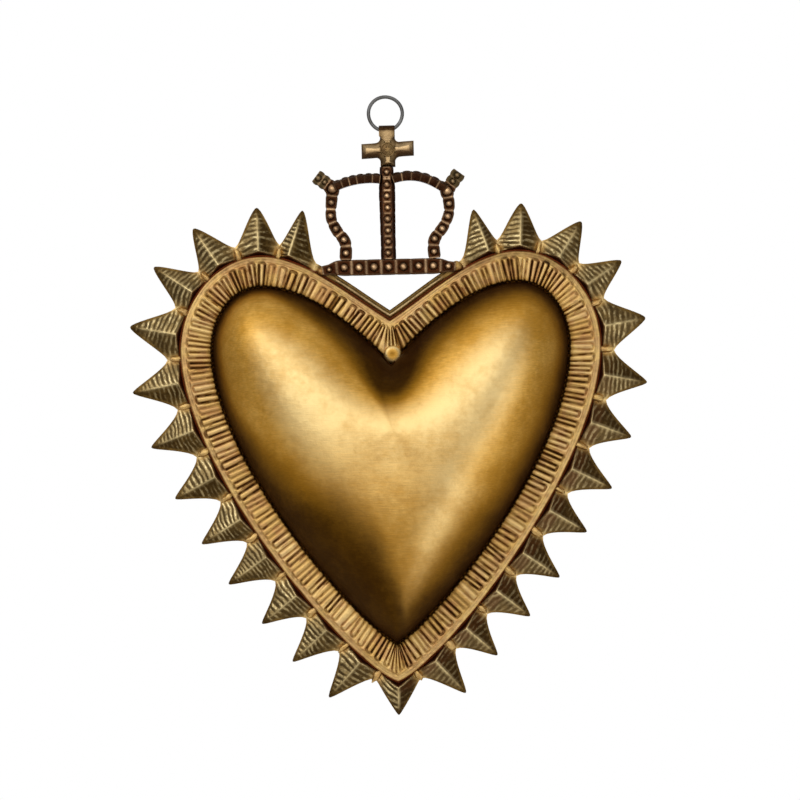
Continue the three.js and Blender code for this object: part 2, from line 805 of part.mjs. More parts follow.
const heart = new THREE.Group();
heart.add(piece('ray_plate', rayPlate(), agedBrass));
heart.add(piece('heart_front', heartFront(), fineBrass));

const crown = new THREE.Group();
const side = crownSide();
const arch = crownArch();
crown.add(piece('crown_base', crownBase(), darkBrass));
crown.add(piece('crown_side_right', side, darkBrass));
crown.add(piece('crown_side_left', mirrored(side), darkBrass));
crown.add(piece('crown_arch_right', arch, darkBrass));
crown.add(piece('crown_arch_left', mirrored(arch), darkBrass));
crown.add(piece('crown_post', crownPost(), darkBrass));
crown.add(piece('cross', cross(), agedBrass));

const group = new THREE.Group();
group.add(heart);
group.add(crown);
group.add(piece('hanging_ring', hangingRing(), steel));

export default group;
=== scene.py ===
"""Hanging brass heart: pressed front, rayed plate, beaded crown, cross and wire ring."""

import logging
import math
import random
from dataclasses import dataclass, field
from enum import Enum
from typing import Callable

import bmesh
import bpy
import numpy as np
from mathutils import Matrix, Vector, noise


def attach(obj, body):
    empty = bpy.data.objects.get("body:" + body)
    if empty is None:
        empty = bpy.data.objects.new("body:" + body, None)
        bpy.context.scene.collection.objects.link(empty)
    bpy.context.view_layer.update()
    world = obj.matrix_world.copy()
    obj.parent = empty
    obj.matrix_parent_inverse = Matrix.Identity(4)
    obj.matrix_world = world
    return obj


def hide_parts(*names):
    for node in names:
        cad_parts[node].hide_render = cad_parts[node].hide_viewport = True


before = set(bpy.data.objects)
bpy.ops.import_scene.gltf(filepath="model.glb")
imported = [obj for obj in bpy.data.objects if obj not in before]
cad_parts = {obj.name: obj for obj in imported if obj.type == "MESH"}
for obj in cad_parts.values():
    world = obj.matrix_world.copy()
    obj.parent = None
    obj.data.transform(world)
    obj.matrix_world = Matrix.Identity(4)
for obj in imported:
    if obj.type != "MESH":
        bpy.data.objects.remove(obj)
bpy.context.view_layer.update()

log = logging.getLogger("heart")
MM = 0.001
# Millimetres of metal to one unit of a piece's chart
UV_UNIT = 100.0
# Distances in metres within which vertices are welded
WELD = 0.00002
FINE_WELD = 0.000001

Mesh = bmesh.types.BMesh
Verts = list[bmesh.types.BMVert]
Edges = list[bmesh.types.BMEdge]
Socket = bpy.types.NodeSocket
Colour = tuple[int, int, int]
Marks = dict[str, np.ndarray]
# Places along something, and the values there
Along = tuple[tuple[float, ...], tuple[float, ...]]


class Side(Enum):
    """Which half of the heart, seen from the front."""

    RIGHT = 1
    LEFT = -1


class Pattern(Enum):
    """How a metal surface was worked."""

    PRESSED = "pressed"
    CHASED = "chased"
    STAMPED = "stamped"
    DRAWN = "drawn"


# Curves and fields


def smoothstep(low: float, high: float, value: np.ndarray) -> np.ndarray:
    """Value eased from 0 at low to 1 at high."""
    share = clamp((value - low) / (high - low))
    return share * share * (3.0 - 2.0 * share)


def fade(low: float, high: float, value: np.ndarray) -> np.ndarray:
    """Value eased from 1 at low to 0 at high."""
    return 1.0 - smoothstep(low, high, value)


def clamp(value: np.ndarray) -> np.ndarray:
    """Value held between 0 and 1."""
    return np.clip(value, 0.0, 1.0)


def lerp(first: np.ndarray, second: np.ndarray, share: np.ndarray) -> np.ndarray:
    """Values between first and second."""
    return first + (second - first) * share


def bump(offset: np.ndarray, width: float) -> np.ndarray:
    """Bell of height 1 around offset 0."""
    return np.exp(-((offset / width) ** 2))


def waves(x: np.ndarray, z: np.ndarray, scale: float, seed: float) -> np.ndarray:
    """Soft unevenness of a sheet worked by hand.

    Args:
        x: Places across the face, in millimetres.
        z: Heights on the face, in millimetres.
        scale: Size of one swell, in millimetres.
        seed: Offset that makes each use different.

    Returns:
        Values from about -1 to 1.
    """
    return np.array(
        [noise.noise(Vector((a / scale, b / scale, seed))) for a, b in zip(x, z)]
    )


def reach_along(line: np.ndarray) -> np.ndarray:
    """Length of a two-column line up to each of its points."""
    return np.concatenate([[0.0], np.cumsum(np.hypot(*np.diff(line, axis=0).T))])


def pair_at(where: np.ndarray, reach: np.ndarray, pairs: np.ndarray) -> np.ndarray:
    """Values of two columns at lengths along a line."""
    return np.stack([np.interp(where, reach, pairs[:, k]) for k in (0, 1)], axis=1)


class HalfOutline:
    """Right half of a heart outline, three cubic curves from the notch to the tip."""

    def __init__(self, controls: list[list[tuple[float, float]]]) -> None:
        """Samples the curves and measures them.

        Args:
            controls: Four control points for each curve, in millimetres.
        """
        share = np.linspace(0.0, 1.0, 500)[:, None]
        parts = []
        for corners in controls:
            a, b, c, d = (np.array(corner) for corner in corners)
            line = (1 - share) ** 3 * a + 3 * (1 - share) ** 2 * share * b
            parts.append(line + 3 * (1 - share) * share**2 * c + share**3 * d)
        self.lengths = [np.hypot(*np.diff(line, axis=0).T).sum() for line in parts]
        self.length = sum(self.lengths)
        self.line = np.vstack([parts[0]] + [line[1:] for line in parts[1:]])
        self.reach = reach_along(self.line)

    def at_length(self, length: np.ndarray) -> tuple[np.ndarray, np.ndarray]:
        """Place and outward direction at a length from the notch.

        Args:
            length: Lengths along the outline, in millimetres.

        Returns:
            Places and unit directions, each with two columns.
        """
        slope = np.gradient(self.line, self.reach, axis=0)
        along = pair_at(length, self.reach, slope)
        along = along / np.hypot(along[:, 0], along[:, 1])[:, None]
        return self.place_at(length), np.stack([-along[:, 1], along[:, 0]], axis=1)

    def place_at(self, length: np.ndarray) -> np.ndarray:
        """Places at lengths from the notch, with two columns."""
        return pair_at(length, self.reach, self.line)

    def length_at(self, count: np.ndarray, shares: list[int]) -> np.ndarray:
        """Length at a count of flutes, where each curve carries its own number of them."""
        return np.interp(count, np.cumsum([0] + shares), np.cumsum([0.0] + self.lengths))


# Sheets and pieces


@dataclass
class Sheet:
    """Places, texture places and marks for every vertex of a worked sheet."""

    place: np.ndarray
    chart: np.ndarray
    marks: Marks = field(default_factory=dict)


# Marks that the finishes read. Besides oxide, wear and grime, the cavity, wear, foot and flank marks carry
# painted shade and painted highlights in places.
MARKS = ("cavity", "wear", "gild", "foot", "line", "flank")


def mark_layers(bm: Mesh) -> dict[str, bmesh.types.BMLayerItem]:
    """Layers of a mesh for the marks, made where they are missing.

    Args:
        bm: The mesh.

    Returns:
        A layer for each mark's name.
    """
    layers = bm.verts.layers.float
    for name in MARKS:
        if layers.get(name) is None:
            layers.new(name)
    return {name: layers.get(name) for name in MARKS}


def worked_sheet(
    columns: int,
    rows: int,
    worker: Callable[[np.ndarray, np.ndarray], Sheet],
    refine: Callable[[Mesh], None] | None = None,
) -> Mesh:
    """Grid whose vertices are moved onto a worked surface.

    Args:
        columns: Number of faces along the sheet.
        rows: Number of faces across the sheet.
        worker: Gives the surface at shares along and across the sheet.
        refine: Optional cut of the flat grid before it is moved.

    Returns:
        The mesh, in metres, with its chart and marks.
    """
    bm = bmesh.new()
    bmesh.ops.create_grid(bm, x_segments=columns, y_segments=rows, size=0.5)
    if refine:
        refine(bm)
    bm.verts.index_update()
    shares = np.array([vert.co[:2] for vert in bm.verts]) + 0.5
    sheet = worker(shares[:, 0], shares[:, 1])
    chart = bm.loops.layers.uv.new("chart")
    for face in bm.faces:
        for loop in face.loops:
            loop[chart].uv = sheet.chart[loop.vert.index]
    layers = mark_layers(bm)
    for vert, place in zip(bm.verts, sheet.place * MM):
        vert.co = place
    for name, values in sheet.marks.items():
        layer = layers[name]
        for vert, value in zip(bm.verts, values):
            vert[layer] = float(value)
    return bm


def marked(bm: Mesh, **values: float) -> Mesh:
    """Gives every vertex of a mesh the same marks.

    Args:
        bm: The mesh.
        values: Mark names and values.

    Returns:
        The same mesh.
    """
    for name, layer in mark_layers(bm).items():
        for vert in bm.verts:
            vert[layer] = values.get(name, 0.0)
    return bm


def close_up(bm: Mesh, reach: float = WELD) -> None:
    """Welds seams and poles, fills open ends and turns the faces out.

    Args:
        bm: The mesh.
        reach: Distance within which vertices are welded, in metres.
    """
    bmesh.ops.remove_doubles(bm, verts=bm.verts, dist=reach)
    edges = [edge for edge in bm.edges if edge.is_boundary]
    if edges:
        bmesh.ops.holes_fill(bm, edges=edges)
    bmesh.ops.recalc_face_normals(bm, faces=bm.faces)


def pushed(
    bm: Mesh, faces: list[bmesh.types.BMFace], step: Vector, keep: bool = True
) -> Verts:
    """Extrudes faces and moves what is new.

    Args:
        bm: The mesh.
        faces: The faces.
        step: How far the new faces move, in millimetres.
        keep: Whether the old faces stay.

    Returns:
        The new vertices.
    """
    made = bmesh.ops.extrude_face_region(bm, geom=faces, use_keep_orig=keep)
    verts = [item for item in made["geom"] if isinstance(item, bmesh.types.BMVert)]
    bmesh.ops.translate(bm, verts=verts, vec=step * MM)
    return verts


def bevelled(bm: Mesh, edges: Edges, width: float, segments: int = 2) -> None:
    """Rounds edges.

    Args:
        bm: The mesh.
        edges: The edges.
        width: Width of the rounding, in millimetres.
        segments: Faces across it.
    """
    bmesh.ops.bevel(
        bm, geom=edges, offset=width * MM, segments=segments, profile=0.5, affect="EDGES", material=-1
    )


@dataclass(frozen=True)
class Place:
    """Where a finished piece belongs: the CAD body it rides on and the node it stands for."""

    body: str
    node: str | None
    slot: str


def finished(
    name: str,
    bm: Mesh,
    place: Place,
    material: bpy.types.Material,
    crease: float = 38.0,
) -> None:
    """Makes a scene object of a mesh and ties it to the frame.

    Args:
        name: Name of the piece.
        bm: Its mesh, which is used up.
        place: Its body and the node it stands for.
        material: Its finish.
        crease: Angle in degrees past which an edge stays sharp.
    """
    mesh = bpy.data.meshes.new(name)
    bm.to_mesh(mesh)
    bm.free()
    mesh.materials.append(material)
    mesh.shade_smooth()
    mesh.set_sharp_from_angle(angle=math.radians(crease))
    piece = bpy.data.objects.new(name, mesh)
    bpy.context.scene.collection.objects.link(piece)
    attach(piece, place.body)
    if place.node:
        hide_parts(place.node)
    log.info("%s: %d faces, rides on %s", name, len(mesh.polygons), place.body)


# Finishes


def linear(colour: Colour) -> tuple[float, float, float, float]:
    """Scene colour of a colour written in steps of 0 to 255.

    Args:
        colour: Red, green and blue.

    Returns:
        The colour as light, with its opacity.
    """
    values = [step / 255.0 for step in colour]
    parts = [v / 12.92 if v <= 0.04045 else ((v + 0.055) / 1.055) ** 2.4 for v in values]
    return (*parts, 1.0)


class NodeBoard:
    """Node tree with short calls for its nodes."""

    def __init__(self, tree: bpy.types.NodeTree) -> None:
        """Keeps the tree that the nodes go into."""
        self.tree = tree

    def feed(self, socket: Socket, value: object) -> None:
        """Links a socket to another one, or sets its value.

        Args:
            socket: The socket.
            value: The other socket, or the value.
        """
        if isinstance(value, bpy.types.NodeSocket):
            self.tree.links.new(value, socket)
        else:
            socket.default_value = value

    def node(self, kind: str, inputs: dict | None = None, **settings: object) -> bpy.types.Node:
        """Adds a node.

        Args:
            kind: Blender's type name.
            inputs: Sockets or values for its inputs, by name or number.
            settings: Properties of the node.

        Returns:
            The node.
        """
        made = self.tree.nodes.new(kind)
        for name, value in settings.items():
            setattr(made, name, value)
        for name, value in (inputs or {}).items():
            self.feed(made.inputs[name], value)
        return made

    def math(self, kind: str, *values: object) -> Socket:
        """Result of a sum on sockets or numbers."""
        return self.node("ShaderNodeMath", dict(enumerate(values)), operation=kind).outputs[0]


class Board(NodeBoard):
    """Node tree of one material."""

    def __init__(self, name: str) -> None:
        """Starts a material with one shader.

        Args:
            name: Name of the material.
        """
        self.material = bpy.data.materials.new(name)
        self.material.use_nodes = True
        super().__init__(self.material.node_tree)
        self.shader = self.tree.nodes["Principled BSDF"]

    def give(self, name: str, value: object) -> None:
        """Links a socket to the shader, or sets one of its values."""
        self.feed(self.shader.inputs[name], value)

    def mark(self, name: str) -> Socket:
        """Value of a mark on the surface."""
        return self.node("ShaderNodeAttribute", attribute_name=name).outputs["Fac"]

    def times(self, first: object, second: object) -> Socket:
        """Product of two sockets or numbers."""
        return self.math("MULTIPLY", first, second)

    def span(
        self, value: object, low: float, high: float, out_low: float = 0.0, out_high: float = 1.0
    ) -> Socket:
        """Value eased from one range to another.

        Args:
            value: The value's socket.
            low: Start of its range.
            high: End of its range.
            out_low: Result at the start.
            out_high: Result at the end.

        Returns:
            The result's socket.
        """
        ends = {"From Min": low, "From Max": high, "To Min": out_low, "To Max": out_high}
        inputs = {"Value": value} | ends
        return self.node("ShaderNodeMapRange", inputs, interpolation_type="SMOOTHSTEP").outputs[0]

    def cloud(self, vector: Socket, scale: float, detail: float = 4.0, rough: float = 0.5) -> Socket:
        """Soft noise along a vector, from 0 to 1.

        Args:
            vector: Place on the piece.
            scale: Swells to a metre.
            detail: Finer layers.
            rough: Weight of the finer layers.

        Returns:
            The noise's socket.
        """
        inputs = {"Vector": vector, "Scale": scale, "Detail": detail, "Roughness": rough}
        return self.node("ShaderNodeTexNoise", inputs).outputs["Fac"]

    def stretched(self, vector: Socket, scale: tuple[float, float, float]) -> Socket:
        """Vector scaled along its axes."""
        return self.node("ShaderNodeMapping", {"Vector": vector, "Scale": scale}).outputs[0]

    def blend(self, share: object, first: Socket | Colour, second: Socket | Colour) -> Socket:
        """Colour between two others.

        Args:
            share: How much of the second colour shows.
            first: Colour under it.
            second: Colour over it.

        Returns:
            The colour's socket.
        """
        ends = [end if isinstance(end, bpy.types.NodeSocket) else linear(end) for end in (first, second)]
        return self.node("ShaderNodeMix", {0: share, 6: ends[0], 7: ends[1]}, data_type="RGBA").outputs[2]

    def relief(self, height: Socket, depth: float, under: Socket | None = None) -> Socket:
        """Surface normal bent by a height field.

        Args:
            height: Heights from 0 to 1.
            depth: What a height of 1 stands for, in metres.
            under: Normal that is bent, where it isn't the surface's own.

        Returns:
            The normal's socket.
        """
        inputs = {"Height": height, "Distance": depth, "Strength": 1.0}
        if under is not None:
            inputs["Normal"] = under
        return self.node("ShaderNodeBump", inputs).outputs[0]


@dataclass(frozen=True)
class AgedMetal:
    """Metal finish with oxide in its recesses and bare metal on its worn edges; its marks also bring
    painted shade and painted highlights.
    """

    name: str
    pattern: Pattern
    body: Colour
    tarnish: Colour
    oxide: Colour
    bright: Colour
    gilt: Colour
    blush: Colour
    deep: Colour
    amber: Colour
    gloss: float = 0.34
    dullness: float = 0.5
    blotch: float = 0.014
    grain: tuple[float, float, float] = (220.0, 900.0, 2600.0)
    grain_depth: float = 0.00004
    hammer_scale: float = 900.0
    hammer_depth: float = 0.00014
    stroke_depth: float = 0.00013
    stamp_scale: float = 700.0
    stamp_depth: float = 0.00009

    def chased(self, board: Board, place: Socket, colour: Socket) -> tuple[Socket, Socket]:
        """Uneven chased strokes across the flanks of the rays, worn bright and partly painted highlight.

        Args:
            board: Node board of the material.
            place: Object coordinates.
            colour: Colour under the strokes.

        Returns:
            The colour with its strokes, and their height.
        """
        flank = board.mark("flank")
        drift = board.times(board.cloud(place, 300.0, 2.0), 0.7)
        drift = board.math("ADD", drift, board.times(board.cloud(place, 45.0, 1.0), 4.0))
        pulse = board.math("COSINE", board.times(board.math("ADD", board.mark("line"), drift), 2 * math.pi))
        kept = board.span(board.cloud(place, 380.0, 3.0, 0.6), 0.36, 0.6)
        level = board.span(board.cloud(place, 130.0, 2.0), 0.38, 0.58, 0.25, 1.0)
        # The flank mark is larger on the flanks painted as lit, so the strokes show more there: painted
        # light.
        shown = board.times(board.times(kept, level), flank)
        gaps = board.times(board.span(pulse, 0.1, -0.7, 0.0, 0.75), flank)
        strokes = board.times(board.span(pulse, 0.0, 0.85), shown)
        colour = board.blend(gaps, colour, self.oxide)
        return board.blend(strokes, colour, self.bright), strokes

    def coloured(self, board: Board, place: Socket, mottle: Socket, streak: Socket) -> Socket:
        """Colour of the metal under its oxide: body, tarnish, gilt places and brown stains, which carry
        painted shade where the foot mark does.

        Args:
            board: Node board of the material.
            place: Object coordinates.
            mottle: Noise of the tarnish.
            streak: Noise of the grain.

        Returns:
            The colour's socket.
        """
        colour = board.blend(board.span(mottle, 0.38, 0.66), self.tarnish, self.body)
        gilt = board.blend(board.span(board.cloud(place, 190.0, 3.0, 0.6), 0.4, 0.6), self.blush, self.gilt)
        colour = board.blend(board.mark("gild"), colour, gilt)
        dirt_and_shade = self.dirt_and_shade(board, mottle)
        colour = board.blend(board.span(dirt_and_shade, 0.0, 0.55), colour, self.amber)
        colour = board.blend(board.span(dirt_and_shade, 0.25, 1.0), colour, self.deep)
        streaked = board.span(streak, 0.3, 0.75, 0.86, 1.1)
        return board.node("ShaderNodeHueSaturation", {"Color": colour, "Value": streaked}).outputs[0]

    @staticmethod
    def dirt_and_shade(board: Board, mottle: Socket) -> Socket:
        """Uneven grime and painted shade where the foot mark is."""
        return board.times(board.mark("foot"), board.span(mottle, 0.2, 0.75, 1.1, 0.88))

    def dented(self, board: Board, place: Socket, heights: dict[str, Socket]) -> Socket:
        """Surface normal with the grain and the marks of the work.

        Args:
            board: Node board of the material.
            place: Object coordinates.
            heights: Height fields by name: streak, fine and, where it is chased, strokes.

        Returns:
            The normal's socket.
        """
        normal = board.relief(heights["streak"], self.grain_depth)
        normal = board.relief(heights["fine"], self.grain_depth * 2.5, normal)
        if self.pattern is Pattern.CHASED:
            normal = board.relief(board.cloud(place, self.hammer_scale, 3.0), self.hammer_depth, normal)
            normal = board.relief(heights["strokes"], self.stroke_depth, normal)
        if self.pattern is Pattern.STAMPED:
            normal = board.relief(board.cloud(place, self.stamp_scale, 3.0), self.stamp_depth, normal)
        return normal

    def material(self) -> bpy.types.Material:
        """Builds the node material once.

        Returns:
            The material.
        """
        label = f"{self.name}_finish"
        known = bpy.data.materials.get(label)
        if known:
            return known
        board = Board(label)
        place = board.node("ShaderNodeTexCoord").outputs["Object"]
        broad = board.cloud(place, 1.0 / self.blotch, 5.0, 0.6)
        fine = board.cloud(place, 5.0 / self.blotch, 4.0, 0.65)
        streak = board.cloud(board.stretched(place, self.grain), 1.0, 3.0, 0.6)
        mottle = board.math("ADD", board.times(broad, 0.65), board.times(fine, 0.35))
        heights = {"streak": streak, "fine": fine}

        colour = self.coloured(board, place, mottle, streak)
        # Oxide, and painted shade where the cavity mark carries it.
        oxide_and_shade = board.times(board.mark("cavity"), board.span(fine, 0.25, 0.7, 1.1, 0.8))
        colour = board.blend(board.math("MINIMUM", oxide_and_shade, 1.0), colour, self.oxide)
        # Bare worn metal, and painted highlight where the wear mark carries it.
        sheen_and_wear = board.times(board.mark("wear"), board.span(mottle, 0.3, 0.6, 0.55, 1.0))
        colour = board.blend(sheen_and_wear, colour, self.bright)
        if self.pattern is Pattern.CHASED:
            colour, heights["strokes"] = self.chased(board, place, colour)
        board.give("Base Color", colour)
        board.give("Metallic", 1.0)

        dull = board.math("MAXIMUM", board.math("MINIMUM", self.dirt_and_shade(board, mottle), 1.0), oxide_and_shade)
        rough = board.span(dull, 0.0, 1.0, self.gloss, self.dullness)
        rough = board.math("SUBTRACT", rough, board.times(sheen_and_wear, 0.08))
        grainy = board.times(board.math("SUBTRACT", streak, 0.5), 0.16)
        board.give("Roughness", board.math("ADD", rough, grainy))
        board.give("Normal", self.dented(board, place, heights))
        return board.material


# Heart


@dataclass(frozen=True)
class HeartShape:
    """Sizes of the heart that its pressed front and its rayed plate share, in millimetres."""

    wall: float = 2.2
    sheet: float = 0.7
    top: float = -60.53
    notch_drop: float = 26.1
    notch_pull: tuple[float, float] = (13.9, 8.6)
    lobe_x: float = 49.9
    lobe_pull: tuple[float, float] = (17.0, 18.7)
    half_width: float = 81.9
    side_drop: float = 36.5
    side_pull: tuple[float, float] = (17.7, 45.8)
    tip_drop: float = 166.8
    tip_pull: tuple[float, float] = (19.9, 8.1)
    border: tuple[float, float, float, float] = (17.0, 12.1, 12.5, 15.0)
    foot_pulls: tuple[tuple[float, float], ...] = (
        (10.2, 11.3), (18.9, 13.2), (10.6, 42.9), (15.9, 9.5),
    )

    def half(
        self,
        inset: tuple[float, float, float, float],
        pulls: tuple[tuple[float, float], ...],
    ) -> HalfOutline:
        """Half outline set in from the rim.

        Args:
            inset: Distances in from the rim at notch, lobe, side and tip.
            pulls: Lengths of the curves' handles at the same four places.

        Returns:
            The outline.
        """
        notch = self.top - self.notch_drop - inset[0]
        lobe = (self.lobe_x, self.top - inset[1])
        side = (self.half_width - inset[2], self.top - self.side_drop)
        tip = self.top - self.tip_drop + inset[3]
        at_notch, at_lobe, at_side, at_tip = pulls
        return HalfOutline([
            [(0, notch), (at_notch[0], notch + at_notch[1]), (lobe[0] - at_lobe[0], lobe[1]), lobe],
            [lobe, (lobe[0] + at_lobe[1], lobe[1]), (side[0], side[1] + at_side[0]), side],
            [side, (side[0], side[1] - at_side[1]), (at_tip[0], tip + at_tip[1]), (0, tip)],
        ])

    def rim(self) -> HalfOutline:
        """Outline of the front's rim."""
        pulls = (self.notch_pull, self.lobe_pull, self.side_pull, self.tip_pull)
        return self.half((0.0, 0.0, 0.0, 0.0), pulls)

    def foot(self) -> HalfOutline:
        """Outline of the dome's foot."""
        return self.half(self.border, self.foot_pulls)


@dataclass
class PressedFront:
    """Front of the heart: dome, groove, fluted border, lip and rim wall."""

    shape: HeartShape
    finish: AgedMetal
    flutes: int = 60
    lip_rise: float = 3.2
    rim_round: float = 0.7
    flute_lift: float = 0.4
    groove_depth: float = 0.95
    groove_half: float = 0.42
    flute_start: float = 0.19
    flute_end: float = 0.935
    foot_rise: float = 2.25
    dome_rise: float = 23.35
    centre_drop: float = 68.5
    fullness: float = 1.8
    shoulder: float = 1.45
    power: float = 3.6
    coarse: int = 480
    dome_rows: int = 30
    border_width: float = 12.5
    rim_pitch: float = 4.6
    foot_pitch: float = 3.65
    engraved_at: float = 1.15
    longer: Along = ((8, 11, 18, 22, 66, 72, 84, 92), (0.0, 0.5, 0.5, 0.0, 0.0, 0.8, 0.8, 0.0))
    # Stretches of the lip near the notch that get painted shade.
    shaded_lip: Along = ((7, 11, 18, 23, 98, 102, 110, 114), (0.0, 0.55, 0.55, 0.0, 0.0, 0.25, 0.25, 0.0))
    # Stretches where the dark ring at the foot is made lighter.
    lighter_edge: Along = ((14, 20, 30, 38, 72, 82, 112, 117), (0.0, 0.25, 0.25, 0.0, 0.0, 0.52, 0.52, 0.0))
    # Reach of the brown darkening from the foot, round the outline: patina, and painted shade of the steep
    # sides.
    stain_and_shade: Along = (
        (0, 4, 12, 24, 42, 52, 57, 59, 61, 63, 68, 79, 89, 102, 107, 112, 117, 120),
        (
            13.0, 11.0, 6.5, 3.8, 8.2, 12.0, 13.5, 15.5, 20.0,
            26.0, 27.0, 14.5, 3.4, 1.8, 1.9, 9.8, 17.0, 13.0,
        ),
    )
    stain_and_shade_edge: float = 1.35
    stain_and_shade_most: float = 0.93
    fan_counts: tuple[float, ...] = (0, 1, 2, 3, 4, 5)
    fan_shares: tuple[float, ...] = (0.0, 0.19, 0.47, 1.02, 1.94, 2.92)
    shade_line: Along = (
        (-60.0, -38.0, -20.6, -7.3, 1.6, 6.0), (-160.0, -159.0, -158.0, -171.0, -193.0, -222.0),
    )
    # Middle and half width, by height, of the painted highlight on the low ridge.
    glow_middle: Along = ((-200.0, -154.0), (2.4, 22.0))
    glow_half: Along = ((-200.0, -154.0), (3.0, 8.5))
    bead: float = 3.7
    bead_place: tuple[float, float] = (0.8, 3.9)
    bead_floor: float = -115.0
    bead_reach: float = 5.0
    chart_pitch: float = 4.45
    hand_seed: int = 11

    def __post_init__(self) -> None:
        """Lays out the outlines, the rows and the hand's unevenness."""
        self.rim = self.shape.rim()
        self.foot = self.shape.foot()
        first, second = (round(self.flutes * part / self.rim.length) for part in self.rim.lengths[:2])
        self.shares = [first, second, self.flutes - first - second]
        self.centre = np.array([0.0, self.shape.top - self.centre_drop])
        border = [
            np.linspace(0.0, 0.0, 3),
            np.linspace(0.012, 0.06, 4),
            np.linspace(0.09, 0.17, 5),
            np.linspace(0.19, 0.36, 9),
            np.linspace(0.42, 0.82, 6),
            np.linspace(0.86, 1.0, 9),
        ]
        self.across = np.concatenate(border)
        self.rise_rows = np.concatenate([[0.0, 0.45, 1.0], np.ones(len(self.across) - 3)])
        hand = random.Random(self.hand_seed)
        self.whole = 2 * self.flutes
        count = self.whole + 1
        self.depths = np.array([hand.uniform(0.55, 1.15) for _ in range(count)])
        self.slants = np.array([hand.gauss(0.0, 0.035) for _ in range(count)])
        self.starts = np.array([hand.gauss(0.0, 0.3) for _ in range(count)])
        self.drifts = np.array([hand.gauss(0.0, 0.05) for _ in range(count)])
        self.sizes = np.array([hand.uniform(0.2, 0.31) for _ in range(count)])
        self.shines = np.array([hand.uniform(0.1, 1.0) for _ in range(count)])
        self.match_outlines()
        loop = np.arange(0, self.whole, 0.25)
        self.foot_loop = self.station(self.foot, loop)
        corners = np.roll(self.foot_loop, -1, axis=0)
        self.middles = (self.foot_loop + corners) / 2
        self.steps = np.hypot(*(corners - self.foot_loop).T)

    def match_outlines(self) -> None:
        """Finds where each flute starts and ends, so that it stands square to the rim."""
        self.counts = np.linspace(0.0, self.flutes, 721)
        knots = self.fan_counts + (self.flutes,)
        closer = np.interp(self.counts, knots, self.fan_shares + (self.flutes,))
        padded = np.pad(closer, 4, mode="reflect", reflect_type="odd")
        closer = np.convolve(padded, np.ones(9) / 9, "valid")
        self.rim_lengths = self.rim.length_at(closer, self.shares)
        starts = self.rim.place_at(self.rim_lengths)
        gaps = np.hypot(*(starts[:, None] - self.foot.line[None]).T)
        nearest = self.foot.reach[gaps.argmin(axis=0)]
        even = self.foot.length_at(self.counts, self.shares)
        padded = np.pad(lerp(nearest, even, 0.12), 12, mode="edge")
        lengths = np.convolve(padded, np.ones(25) / 25, "valid")
        lengths[-1] = even[-1]
        fanned = 1.0 - np.exp(-self.rim_lengths / 1.2)
        self.foot_lengths = np.maximum.accumulate(lengths * fanned)
        self.even_counts = np.interp(self.foot_lengths, even, self.counts)

    def station(self, outline: HalfOutline, count: np.ndarray) -> np.ndarray:
        """Place on a whole outline at a flute count, from the notch round the right side.

        Args:
            outline: Outline of the rim or of the foot.
            count: Flute counts round the outline.

        Returns:
            Places with two columns, in millimetres.
        """
        half = np.where(count <= self.flutes, count, self.whole - count)
        lengths = self.foot_lengths if outline is self.foot else self.rim_lengths
        place = outline.place_at(np.interp(half, self.counts, lengths))
        place[:, 0] *= np.where(count <= self.flutes, 1.0, -1.0)
        return place

    def bead_centre(self) -> np.ndarray:
        """Place of the round bead that ends the border at the notch."""
        return self.foot_loop[0] + np.array(self.bead_place)

    def notch_bead(self, bm: Mesh) -> None:
        """Adds the bead at the inner end of the notch to the pressed sheet.

        Args:
            bm: The sheet's mesh, which the bead joins.
        """
        x, z = self.bead_centre()
        level = self.shape.wall - self.shape.sheet - self.lip_rise + 0.3
        made = bmesh.ops.create_icosphere(bm, subdivisions=5, radius=1.0)
        layers = mark_layers(bm)
        for vert in made["verts"]:
            outward, out = math.hypot(vert.co.x, vert.co.z), -vert.co.y
            dent = 0.35 * bump(outward, 0.45)
            # The bead's lower edge is darkened in the foot and cavity marks: painted shade.
            low = min(max(0.5 - vert.co.z, 0.0), 1.0)
            vert[layers["gild"]] = 0.1
            vert[layers["foot"]] = 0.4 * bump(outward, 0.5) + 0.3 * low * outward**6
            vert[layers["wear"]] = 0.6 * bump(outward - 0.74, 0.16) if out > 0 else 0.0
            vert[layers["cavity"]] = 0.1 + 0.75 * low * outward**8
            spot = (x + vert.co.x * self.bead, level - (1.9 - dent) * out, z + vert.co.z * self.bead)
            vert.co = Vector(spot) * MM

    def swell(self, place: np.ndarray) -> np.ndarray:
        """Smooth distance from the dome's foot.

        Args:
            place: Places on the face, in millimetres.

        Returns:
            Distances in millimetres.
        """
        total = np.zeros(len(place))
        for middle, step in zip(self.middles, self.steps):
            gap = np.hypot(place[:, 0] - middle[0], place[:, 1] - middle[1])
            total += step / np.maximum(gap, 0.05) ** self.power
        return total ** (-1.0 / (self.power - 1.0))

